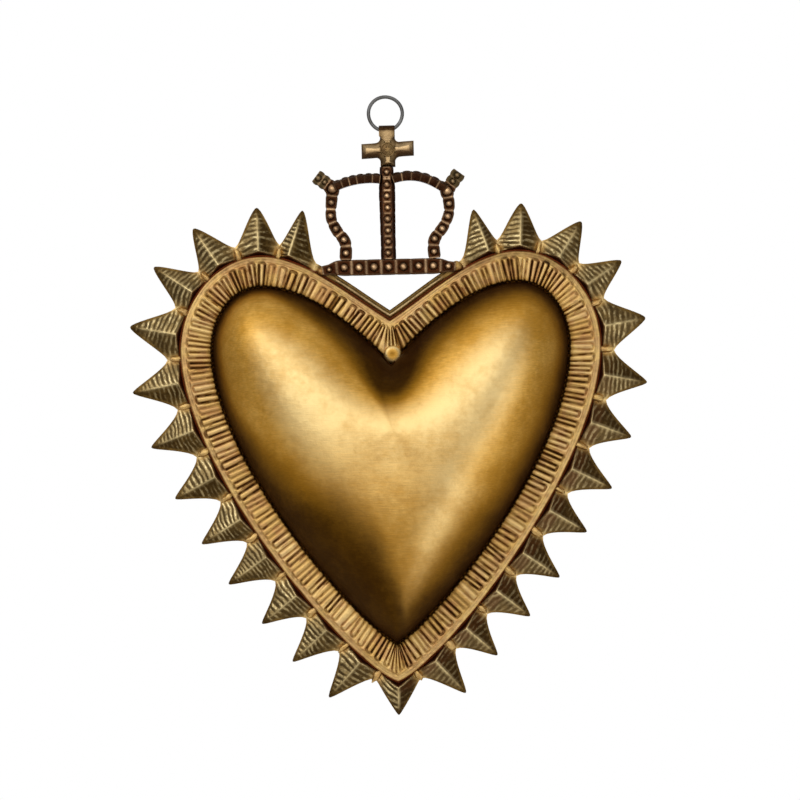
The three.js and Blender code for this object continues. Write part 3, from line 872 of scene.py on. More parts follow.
    def flute_relief(
        self, count: np.ndarray, across: np.ndarray, width: np.ndarray
    ) -> tuple[np.ndarray, np.ndarray]:
        """Groove strength and height of the punched border.

        Args:
            count: Flute counts round the outline.
            across: Shares of the way from the rim to the foot.
            width: Width of the border, in millimetres.

        Returns:
            Groove strength from 0 to 1, and height above the lip in millimetres.
        """
        unit = np.floor(count).astype(int) % self.whole
        pitch = lerp(self.rim_pitch, self.foot_pitch, across)
        side = (count - np.floor(count) - 0.5 + self.drifts[unit]) * pitch
        side = side + self.slants[unit] * (across - 0.3) * width
        radius = self.sizes[unit] * pitch
        start = self.flute_start * self.border_width + radius + self.starts[unit] + 0.45
        start = start - np.interp(count, *self.longer)
        inward = across * width - start
        corner = (np.abs(side / radius) ** 3 + np.abs(inward / radius) ** 3) ** (1 / 3) * radius
        gap = np.where(inward > 0, np.abs(side) - radius, corner - radius)
        from_notch = np.minimum(count, self.whole - count)
        deep = np.maximum(self.depths[unit], 0.85 * (from_notch < 7.0))
        groove = bump(gap, self.groove_half) * deep
        groove = groove * (1.0 - 0.3 * smoothstep(0.2, 0.9, -inward / radius))
        seam = bump(np.abs(side) - pitch / 2 + 0.1, 0.2) * smoothstep(0.0, 1.5, inward)
        groove = np.maximum(groove, 0.4 * seam * (self.depths[unit] > 0.85))
        groove = groove * (1.0 - smoothstep(0.55, 0.8, across) * fade(0.3, 1.2, from_notch))
        band = smoothstep(0.15, 0.21, across)
        height = band * self.flute_lift - groove * self.groove_depth
        return np.minimum(groove, 1.0), height

    def under_bead(self, place: np.ndarray) -> np.ndarray:
        """Share by which the border drops to the groove below the notch's bead.

        Args:
            place: Places on the face, in millimetres.

        Returns:
            Shares from 0 to 1.
        """
        x, z = place.T
        gap = np.hypot(*(place - self.bead_centre()).T) / self.bead
        below = (z > self.bead_floor) & (z < self.bead_centre()[1]) & (np.abs(x) < self.bead_reach)
        return np.where(below, smoothstep(0.8, 1.0, gap), 0.0)

    def border_sheet(self, count: np.ndarray, row: np.ndarray) -> tuple[np.ndarray, ...]:
        """Heights and marks of the border.

        Args:
            count: Flute counts round the outline.
            row: Rows from 0 at the plate to the last at the foot.

        Returns:
            Places on the face, rises above the plate, cavity, wear, gild and foot marks.
        """
        rows = np.arange(len(self.across))
        across = np.interp(row, rows, self.across)
        rising = np.interp(row, rows, self.rise_rows)
        rim, foot = self.station(self.rim, count), self.station(self.foot, count)
        width = np.hypot(*(foot - rim).T)
        place = lerp(rim, foot, across[:, None])
        edge = np.clip(self.rim_round - across * width, 0.0, self.rim_round)
        rounding = self.rim_round - np.sqrt(self.rim_round**2 - edge**2)
        groove, height = self.flute_relief(count, across, width)
        patchy = 0.5 + 0.5 * waves(*place.T, 5.0, 12.0)
        from_line = across * width - self.engraved_at
        line = bump(from_line, 0.22) * 0.2 * patchy
        fall = smoothstep(0.0, 0.07, across - (self.flute_end - 0.05 * groove))
        fall = np.maximum(fall, self.under_bead(place))
        level = self.lip_rise + height - line - rounding
        rise = lerp(level, np.full_like(level, self.foot_rise), fall)
        rise = np.where(rising < 1.0, rising * (self.lip_rise - self.rim_round), rise)
        rise = rise + 0.1 * waves(*place.T, 9.0, 3.0) * rising

        grit = 0.5 + 0.5 * waves(*place.T, 1.6, 6.0)
        # Painted shade on the lip along two stretches near the notch.
        dulled = np.interp(count, *self.shaded_lip) * fade(0.15, 0.22, across)
        inner = smoothstep(self.flute_end - 0.17, self.flute_end, across)
        # Patina in the groove at the dome's foot, deepened there as painted shade.
        cavity = np.clip(groove * 0.95 - 0.05, 0.0, 0.9) * (1.0 - fall) + 0.85 * fall
        cavity = np.maximum(cavity, 0.55 * inner)
        cavity = np.maximum(cavity, (0.15 + 0.6 * grit) * patchy * bump(from_line, 0.28))
        cavity = cavity + 0.2 * grit * (1.0 - fall) * (across < 0.2) + 0.75 * dulled
        # The rim wall down into the slot: oxide and painted shade.
        cavity = np.where(rising < 1.0, 0.45, cavity)
        shine = self.shines[np.floor(count).astype(int) % self.whole]
        wear = fade(0.05, 0.4, groove) * (1.0 - fall) * 0.45 * shine * smoothstep(0.17, 0.22, across)
        lip = smoothstep(0.0, 0.5, across * width) * fade(0.15, 0.2, across)
        lit = lip * (0.75 - 0.5 * grit) + 0.15 * bump(across - self.flute_end + 0.03, 0.025)
        wear = clamp(wear + 0.5 * lit * (1.0 - groove) * (1.0 - dulled)) * (rising >= 1.0)
        wear = wear * (1.0 - 0.8 * inner)
        gild = (1.0 - fall) * 0.85 * (1.0 - 0.6 * inner)
        return place, rise, cavity, wear, gild, 0.7 * fall

    def dome_height(self, swell: np.ndarray) -> np.ndarray:
        """Height of the dome over its foot, as a share of its rise."""
        full = clamp(swell / self.fullest)
        return (1.0 - (1.0 - full) ** self.fullness) ** (1.0 / self.shoulder)

    def steepness(self, place: np.ndarray, swell: np.ndarray) -> np.ndarray:
        """Slope of the dome, as rise over run.

        Args:
            place: Places on the face, in millimetres.
            swell: Distances of the places from the foot.

        Returns:
            The slopes.
        """
        level, step = self.dome_height(swell), 0.4
        climbs = [self.dome_height(self.swell(place + way)) - level for way in ((step, 0.0), (0.0, step))]
        return np.hypot(*climbs) * self.dome_rise / step

    def painted_ridge_highlight(self, place: np.ndarray) -> np.ndarray:
        """Share of painted highlight along the low ridge that runs from the right lobe to the tip.

        Args:
            place: Places on the face, in millimetres.

        Returns:
            Shares from 0 to 1.
        """
        x, z = place.T
        middle, half = np.interp(z, *self.glow_middle), np.interp(z, *self.glow_half)
        ends = smoothstep(-216.0, -162.0, z) * fade(-156.0, -136.0, z)
        return bump((x - middle) / half, 1.0) * ends

    def stained_and_shaded(
        self, count: np.ndarray, share: np.ndarray, place: np.ndarray, swell: np.ndarray
    ) -> np.ndarray:
        """Brown patina round the dome's foot, partly painted shade of its steep sides, with painted shade
        under the notch and low on the left.

        Args:
            count: Flute counts round the outline.
            share: Shares of the way from the middle of the dome to its foot.
            place: Places on the face, in millimetres.
            swell: Distances of the places from the foot.

        Returns:
            Strengths from 0 to 1.
        """
        from_tip = np.abs(count - self.flutes)
        near_tip = np.interp(from_tip, (0.0, 14.0), (13.0, 20.0))
        inward = fade(0.25, 0.75, share) * fade(12.0, 24.0, from_tip)
        reach = lerp(np.interp(count, *self.stain_and_shade), near_tip, inward)
        reach = reach * (1.0 + 0.15 * waves(*place.T, 18.0, 4.0))
        stain_and_shade = np.exp(-((np.clip(swell - 0.6, 0.0, None) / reach) ** self.stain_and_shade_edge))
        # The darkening is lifted along the painted ridge highlight.
        stain_and_shade = stain_and_shade * 0.94 * (1.0 - 0.55 * self.painted_ridge_highlight(place))
        # Painted shade under the notch.
        from_notch = np.hypot(place[:, 0] - 0.5, (place[:, 1] - self.foot_loop[0][1] + 4.0) * 0.8)
        stain_and_shade = stain_and_shade + 0.56 * bump(from_notch, 9.0)
        shade = smoothstep(-13.0, 12.0, np.interp(place[:, 0], *self.shade_line) - place[:, 1])
        return np.clip(1.0 - (1.0 - stain_and_shade) * (1.0 - 0.62 * shade), 0.0, self.stain_and_shade_most)

    def dome_sheet(self, count: np.ndarray, share: np.ndarray) -> tuple[np.ndarray, ...]:
        """Heights and marks of the dome.

        Args:
            count: Flute counts round the outline.
            share: Shares of the way from the middle of the dome to its foot.

        Returns:
            Places on the face, rises above the plate, cavity, wear, gild and foot marks.
        """
        foot = self.station(self.foot, count)
        half = np.interp(np.minimum(count, self.whole - count), self.counts, self.even_counts)
        count = np.where(count <= self.flutes, half, self.whole - half)
        place = self.centre + (foot - self.centre) * share[:, None]
        swell = self.swell(place)
        self.fullest = swell.max()
        full = clamp(swell / self.fullest)
        rise = np.where(share > 0.999, 0.0, self.dome_height(swell))
        uneven = 0.16 * waves(*place.T, 22.0, 8.0)
        uneven = uneven + 0.05 * waves(*place.T, 7.0, 9.0)
        rise = self.foot_rise + self.dome_rise * rise + uneven * smoothstep(0.0, 0.3, full)

        stain_and_shade = self.stained_and_shaded(count, share, place, swell)
        # A dark ring at the foot: patina, widened under the notch as painted shade.
        near_notch = bump(np.minimum(count, self.whole - count), 7.0)
        edge = fade(0.0, 1.0, (swell - 0.3) / (2.4 + 7.0 * near_notch))
        cavity = (0.58 + 0.2 * near_notch - np.interp(count, *self.lighter_edge)) * edge
        # Painted shade within about a millimetre of the foot.
        cavity = np.maximum(cavity, 0.6 * fade(0.2, 1.2, swell))
        # Pale wear on the flats, with painted highlight on the upper flats and along the low ridge.
        flat = fade(0.1, 0.62, self.steepness(place, swell))
        high = smoothstep(-170.0, -116.0, place[:, 1]) * smoothstep(0.2, 0.5, full)
        wear = clamp(flat * (0.1 + 0.68 * high) + 0.55 * self.painted_ridge_highlight(place)) * (1.0 - stain_and_shade)
        return place, rise, cavity, wear, np.zeros_like(rise), stain_and_shade

    def refine(self, bm: Mesh) -> None:
        """Cuts the border's edges in three, so that it can carry its flutes.

        Args:
            bm: Mesh of the flat grid.
        """
        limit = self.border_rows / self.rows - 0.5 + 1e-6
        edges = [
            edge for edge in bm.edges
            if abs(edge.verts[0].co.y - edge.verts[1].co.y) < 1e-6 and edge.verts[0].co.y < limit
        ]
        bmesh.ops.subdivide_edges(bm, edges=edges, cuts=2, use_grid_fill=True)

    def surface(self, along: np.ndarray, across: np.ndarray) -> Sheet:
        """The pressed surface.

        Args:
            along: Shares of the way round the heart.
            across: Shares of the way from the rim's foot to the middle of the dome.

        Returns:
            The sheet.
        """
        count, row = along * self.whole, across * self.rows
        border = row <= self.border_rows + 1e-6
        step = (row[~border] - self.border_rows) / self.dome_rows
        of_border = self.border_sheet(count[border], row[border])
        of_dome = self.dome_sheet(count[~border], 1.0 - step**1.35)
        filled = []
        for outer, inner in zip(of_border, of_dome):
            values = np.zeros((len(along),) + outer.shape[1:])
            values[border], values[~border] = outer, inner
            filled.append(values)
        place, rise, *values = filled
        depth = self.shape.wall - self.shape.sheet - rise
        points = np.stack([place[:, 0], depth, place[:, 1]], axis=1)
        chart = np.stack([count * self.chart_pitch, row], axis=1) / UV_UNIT
        return Sheet(points, chart, dict(zip(MARKS, values)))

    def build(self) -> None:
        """Builds and dresses the pressed sheet, closed against the plate."""
        self.border_rows = len(self.across) - 1
        self.rows = self.border_rows + self.dome_rows
        bm = worked_sheet(self.coarse, self.rows, self.surface, self.refine)
        close_up(bm)
        self.notch_bead(bm)
        place = Place("heart", "heart_front", "fine_brass")
        finished("pressed_front", bm, place, self.finish.material(), crease=75.0)


@dataclass
class RayedPlate:
    """Back plate: a flat sheet with hollow rays pressed along its edge."""

    shape: HeartShape
    finish: AgedMetal
    rays: int = 13
    narrow_rays: int = 4
    narrow_pitch: float = 14.75
    start: float = 36.0
    valley_out: float = 5.4
    tip_valley_out: float = 2.8
    tip_width: float = 15.8
    tip_reach: float = 12.2
    base_out: float = 0.6
    base_gap: float = 1.4
    apex_out: float = 2.15
    rise: float = 4.2
    lean: float = 3.3
    strip: float = 3.6
    bead: float = 0.6
    bead_reach: float = 27.0
    chase_pitch: float = 1.85
    drift: float = 1.9
    tip_round: float = 0.7
    reaches: dict[Side, float] = field(
        default_factory=lambda: {Side.RIGHT: 19.2, Side.LEFT: 20.0}
    )
    level: float = 1.1
    blend_height: float = 0.35
    ripple: float = 0.14
    stroke_ripple: float = 0.16
    ray_steps: int = 9
    rows: int = 66
    flat_rows: tuple[float, ...] = (-1.5, -0.6, 0.1, 0.6)
    foot_out: float = 2.7
    foot_rows: int = 9
    strip_stations: int = 25
    hand_seed: int = 23
    solder_seed: int = 31
    back_shares: tuple[float, ...] = (0.3, 0.3, 0.0, 0.3, 1.0, 0.45)

    def __post_init__(self) -> None:
        """Lays out the rim and the stations of both halves."""
        self.rim = self.shape.rim()
        right, left = self.stations(Side.RIGHT), self.stations(Side.LEFT)
        self.ring = np.array(right + left[::-1])

    def valley(self, index: int) -> float:
        """Length along the rim of a valley between two rays.

        Args:
            index: Number of the valley, from the notch.

        Returns:
            The length in millimetres.
        """
        wide = self.rim.length - self.start - self.narrow_pitch * self.narrow_rays
        wide = (wide - self.tip_width / 2) / (self.rays - self.narrow_rays)
        narrow = min(index, self.narrow_rays)
        even = self.start + self.narrow_pitch * narrow + wide * (index - narrow)
        share = even / self.rim.length
        return even + self.drift * smoothstep(0.45, 0.68, share) * fade(0.86, 0.97, share)

    def valley_reach(self, index: int) -> float:
        """Distance of a valley from the rim.

        Args:
            index: Number of the valley, from the notch.

        Returns:
            The distance in millimetres.
        """
        if index == 0:
            return self.strip
        near_tip = (self.valley(index) / self.rim.length) ** 16
        return self.valley_out + (self.tip_valley_out - self.valley_out) * near_tip

    def stations(self, side: Side) -> list[tuple[float, ...]]:
        """Stations along one half, from the notch to the tip.

        Args:
            side: Which half.

        Returns:
            For each station: side, length, the ray's point, half width, valley distance,
            reach, and whether it is on a ray.
        """
        hand = random.Random(self.hand_seed + side.value)
        made = [
            (side.value, length, length, 1.0, self.strip, self.strip, 0.0)
            for length in np.linspace(0.0, self.start, self.strip_stations)[:-1]
        ]
        steps = [step / self.ray_steps for step in range(self.ray_steps)]
        for index in range(self.rays + 1):
            low = self.valley(index)
            last = index == self.rays
            high = self.rim.length if last else self.valley(index + 1)
            lean = self.lean if index == 0 else hand.uniform(-0.5, 0.5)
            point = high if last else (low + high) / 2 + lean
            reach = self.tip_reach if last else self.reaches[side] + hand.uniform(-0.8, 0.7)
            rising = [low + (point - low) * (1.0 - (1.0 - share) ** 1.35) for share in steps]
            falling = [point + (high - point) * share**1.35 for share in steps]
            if last:
                rising, falling = rising + [high], []
            for lengths, half, valley in (
                (rising, point - low, self.valley_reach(index)),
                (falling, high - point, self.valley_reach(index + 1)),
            ):
                made += [(side.value, length, point, half, valley, reach, 1.0) for length in lengths]
        return made

    def direction(self, length: np.ndarray) -> tuple[np.ndarray, np.ndarray]:
        """Rim place and outward direction, mitred where the two halves meet.

        Args:
            length: Lengths along the rim, in millimetres.

        Returns:
            Places and directions, each with two columns.
        """
        place, out = self.rim.at_length(length)
        for end, near in ((0.0, 5.0), (self.rim.length, 9.0)):
            mitre = np.stack([np.zeros_like(length), 1.0 / out[:, 1]], axis=1)
            share = fade(0.0, near, np.abs(length - end))
            out = lerp(out, mitre, share[:, None])
        return place, out

    def sheen_and_wear(
        self, side: np.ndarray, length: np.ndarray, offset: np.ndarray, way: np.ndarray
    ) -> np.ndarray:
        """Painted light on each flank of a ray: lighter or darker by the way it faces, with some random
        tone.

        Args:
            side: 1 on the right half and -1 on the left one.
            length: Lengths along the rim, in millimetres.
            offset: Lengths from the ray's point.
            way: Outward directions of the right half.

        Returns:
            Shares from 0 to 1.
        """
        x, z = way.T
        right, left = 0.6 * x - 0.8 * z, 0.8 * z - 0.7 * x
        facing = np.sign(offset) * np.where(side > 0, right, left)
        facing = 1.2 * facing + 0.5 * waves(length - offset, side, 9.0, 31.0)
        shown = (0.5 + 0.5 * np.clip(facing, -1.0, 1.0)) * (1.0 - 0.4 * self.low_right(side, length))
        return clamp(shown + 0.2 * (side < 0) * smoothstep(150.0, 210.0, length))

    @staticmethod
    def low_right(side: np.ndarray, length: np.ndarray) -> np.ndarray:
        """Share of the browner, duller stretch low on the right."""
        return (side > 0) * smoothstep(90.0, 150.0, length)

    def relief(self, station: np.ndarray, out: np.ndarray, way: np.ndarray) -> tuple[np.ndarray, Marks]:
        """Height of the pressed rays and bead, and the marks on them.

        Args:
            station: Station rows, one for each vertex.
            out: Distances from the rim, in millimetres.
            way: Outward directions of the right half.

        Returns:
            Heights in millimetres and the marks.
        """
        side, length, point, half, valley, reach, on_ray = station.T
        climb = clamp((out - self.apex_out) / (reach - self.apex_out))
        offset = length - point
        gap = np.maximum(np.sqrt(offset**2 + 0.03) - 0.17, 0.0)
        above = clamp((out - valley) / np.maximum(reach - valley, 1e-6))
        below = clamp((out - self.base_out) / (valley - self.base_out))
        upper, lower = half * (1.0 - above ** (1 / 1.5)), half - self.base_gap * (1.0 - below)
        wide = np.maximum(np.where(out > valley, upper, lower), 1e-3)
        flank = self.rise * (1.0 - climb) * clamp(1.0 - gap / wide)
        third = self.rise * np.clip((out - self.base_out) / (self.apex_out - self.base_out), 0.0, 8.0)
        mixed = clamp(0.5 + 0.5 * (third - flank) / self.blend_height)
        height = lerp(third, flank, mixed) - self.blend_height * mixed * (1.0 - mixed)
        height = np.clip(height, 0.0, None) * on_ray
        middle = out - self.strip / 2
        beading = np.sqrt(np.clip(self.bead**2 - middle**2, 0.0, None))
        beading = beading * fade(self.bead_reach - 1.5, self.bead_reach, length)
        face = smoothstep(0.1, 0.6, height) * smoothstep(-0.1, 0.4, third - flank) * on_ray
        height = height + beading * (1.0 - on_ray)

        low_right = self.low_right(side, length)
        sheen_and_wear = self.sheen_and_wear(side, length, offset, way)
        face = face * (1.0 - bump(offset, 0.35)) * fade(0.86, 1.0, np.abs(offset) / wide)
        face = face * (1.0 - 0.8 * smoothstep(0.75, 0.95, climb))
        pitch = self.chase_pitch * (1.0 + 0.25 * waves(point, side * 40.0, 5.0, 37.0))
        ripple = self.ripple * waves(point, side * 30.0, 4.0, 41.0) * np.abs(offset)
        line = (out - self.apex_out + ripple) / pitch
        line = line + self.stroke_ripple * waves(length, out * 1.5, 3.5, 44.0)

        ridge = bump(offset, 0.36 + 0.1 * low_right) * smoothstep(0.3, 1.2, height) * (third > flank)
        ridge = ridge * (1.0 - 0.6 * smoothstep(0.3, 0.85, climb))
        crease = bump(flank - third, 0.8) * smoothstep(0.4, 1.0, height)
        patchy = 0.75 + 0.5 * waves(length * self.chase_pitch, out, 2.2, 14.0)
        # Wear on ridges and creases, and painted highlight on the flanks painted as lit.
        wear = clamp((ridge * 0.95 + crease * 0.95) * patchy + 0.16 * sheen_and_wear * face)
        wear = np.maximum(wear, (1.0 - on_ray) * beading / self.bead * 0.5)
        tip = smoothstep(0.66, 0.98, climb) * on_ray
        wear = wear * (1.0 - 0.85 * tip)

        # The face toward the rim and the seam by it get red-brown oxide, and painted shade where they sit
        # in the slot.
        inward = smoothstep(-0.2, 0.5, flank - third) * smoothstep(0.1, 0.8, height)
        seam = fade(0.5, 1.3, out)
        foot = np.maximum(inward * 0.85, seam * 0.9)
        # Oxide on the face toward the rim and on the tips; flanks facing away from the light get painted
        # shade.
        cavity = inward * 0.3 + tip * 0.65 + (0.62 + 0.15 * low_right) * (1.0 - sheen_and_wear) * face
        from_bead = np.abs(middle) - self.bead
        groove = 0.9 * bump(from_bead - 0.25, 0.22) * (1.0 - on_ray)
        rim_edge = 0.7 * (1.0 - on_ray) * smoothstep(0.7, 1.2, from_bead + 0.35)
        cavity = clamp(np.maximum(cavity, np.maximum(groove, rim_edge)))

        from_valley = np.abs(offset) - half
        clear = smoothstep(0.2, 1.0, out) * on_ray
        solder = bump(from_valley, 2.0) * fade(0.6, 2.6, out - valley) * clear
        edge_light = 0.45 * bump(from_valley, 0.5) * fade(0.0, 0.8, out - valley) * clear
        brown = low_right * (0.15 + 0.3 * smoothstep(1.5, 0.0, out - valley)) * face
        return height, {
            "cavity": cavity * (1.0 - 0.7 * solder),
            "wear": np.maximum(wear, edge_light),
            "gild": clamp(0.95 * solder + (1.0 - on_ray) * 0.25),
            "foot": clamp(np.maximum(foot, brown) * (1.0 - solder)),
            "line": line,
            # Strokes show more on the flanks painted as lit.
            "flank": face * (0.3 + 0.7 * sheen_and_wear) * (1.0 - 0.4 * low_right),
        }

    def solder_spots(self) -> Mesh:
        """Lumps of solder in the valleys, where the plate meets the front.

        Returns:
            The mesh.
        """
        bm = bmesh.new()
        hand = random.Random(self.solder_seed)
        layers = mark_layers(bm)
        for side in Side:
            for index in range(1, self.rays + 1):
                rim, way = self.direction(np.array([self.valley(index) + hand.uniform(-0.5, 0.5)]))
                out = Vector((way[0][0] * side.value, 0.0, way[0][1])).normalized()
                spot = Vector((rim[0][0] * side.value, 0.0, rim[0][1])) + out * hand.uniform(1.5, 2.2)
                along = Vector((out.z, 0.0, -out.x))
                size = (hand.uniform(1.0, 1.6), hand.uniform(0.9, 1.4), hand.uniform(2.4, 3.2))
                seed = Vector((hand.uniform(0.0, 90.0), 0.0, 0.0))
                for vert in bmesh.ops.create_icosphere(bm, subdivisions=4, radius=1.0)["verts"]:
                    grow = 1.0 + 0.6 * noise.noise(vert.co * 1.2 + seed)
                    front = 1.0 if vert.co.y < 0 else 0.0
                    vert[layers["gild"]] = 0.5 + 0.5 * front
                    vert[layers["cavity"]] = 0.5 - 0.42 * front
                    vert[layers["wear"]] = (0.12 + 0.2 * noise.noise(vert.co * 1.6 - seed)) * front
                    shape = along * vert.co.x * size[0] + out * vert.co.z * size[2]
                    shape.y = self.level + vert.co.y * size[1]
                    vert.co = (spot + shape * grow) * MM if vert.co.y < 0 else (spot + shape) * MM
        return bm

    def surface(self, along: np.ndarray, across: np.ndarray) -> Sheet:
        """The worked ring of the plate, from under the front's rim to the rays' edges.

        Args:
            along: Shares of the way round the heart.
            across: Shares of the way outwards.

        Returns:
            The sheet.
        """
        station = self.ring[np.rint(along * (len(self.ring) - 1)).astype(int)]
        side, length, point, half, valley, reach, _ = station.T
        row, flat = across * self.rows, len(self.flat_rows) - 1
        blunt = np.hypot(length - point, self.tip_round) - self.tip_round
        share = clamp(1.0 - blunt / (np.hypot(half, self.tip_round) - self.tip_round))
        edge = valley + (reach - valley) * share**1.5
        steps = clamp((row - flat) / (self.rows - flat))
        foot = self.foot_rows / (self.rows - flat)
        outer = np.where(
            steps < foot,
            lerp(self.flat_rows[-1], self.foot_out, steps / foot),
            lerp(self.foot_out, edge, (steps - foot) / (1 - foot)),
        )
        out = np.where(row < flat, np.interp(row, np.arange(flat + 1), self.flat_rows), outer)
        place, way = self.direction(length)
        height, marks = self.relief(station, out, way)
        spot = place + way * out[:, None]
        spot[:, 0] *= side
        height = height + 0.12 * waves(*spot.T, 16.0, 5.0) * smoothstep(1, 4, out)
        depth = self.shape.wall - self.shape.sheet - height
        points = np.stack([spot[:, 0], depth, spot[:, 1]], axis=1)
        return Sheet(points, np.stack([length * side, out], axis=1) / UV_UNIT, marks)

    def plate(self) -> Mesh:
        """Plate with its front, back and edges.

        Returns:
            The mesh.
        """
        bm = worked_sheet(len(self.ring) - 1, self.rows, self.surface)
        bmesh.ops.remove_doubles(bm, verts=bm.verts, dist=WELD)
        bmesh.ops.recalc_face_normals(bm, faces=bm.faces)
        bm.edges.index_update()
        edges = self.inner_loop([edge for edge in bm.edges if edge.is_boundary])
        bmesh.ops.triangle_fill(bm, edges=edges, use_beauty=True)
        back = pushed(bm, list(bm.faces), Vector((0.0, self.shape.sheet, 0.0)))
        shares = list(zip(mark_layers(bm).values(), self.back_shares))
        for vert in back:
            for layer, share in shares:
                vert[layer] = vert[layer] * share
        bmesh.ops.recalc_face_normals(bm, faces=bm.faces)
        return bm

    def build(self) -> None:
        """Builds and dresses the plate and the solder in its valleys."""
        finish = self.finish.material()
        finished("rayed_plate", self.plate(), Place("heart", "ray_plate", "aged_brass"), finish, 60.0)
        finished("valley_solder", self.solder_spots(), Place("heart", None, "aged_brass"), finish, 120.0)

    @staticmethod
    def inner_loop(edges: Edges) -> Edges:
        """The boundary loop that lies under the rim.

        Args:
            edges: All boundary edges of the ring of rays.

        Returns:
            The edges of the inner loop, in the order of their numbers.
        """
        loops = []
        left = set(edges)
        while left:
            loop = [left.pop()]
            ends = list(loop[0].verts)
            while ends:
                vert = ends.pop()
                for edge in vert.link_edges:
                    if edge in left:
                        left.remove(edge)
                        loop.append(edge)
                        ends.append(edge.other_vert(vert))
            loops.append(loop)
        inner = min(loops, key=lambda loop: max(abs(edge.verts[0].co.x) for edge in loop))
        return sorted(inner, key=lambda edge: edge.index)


# Crown


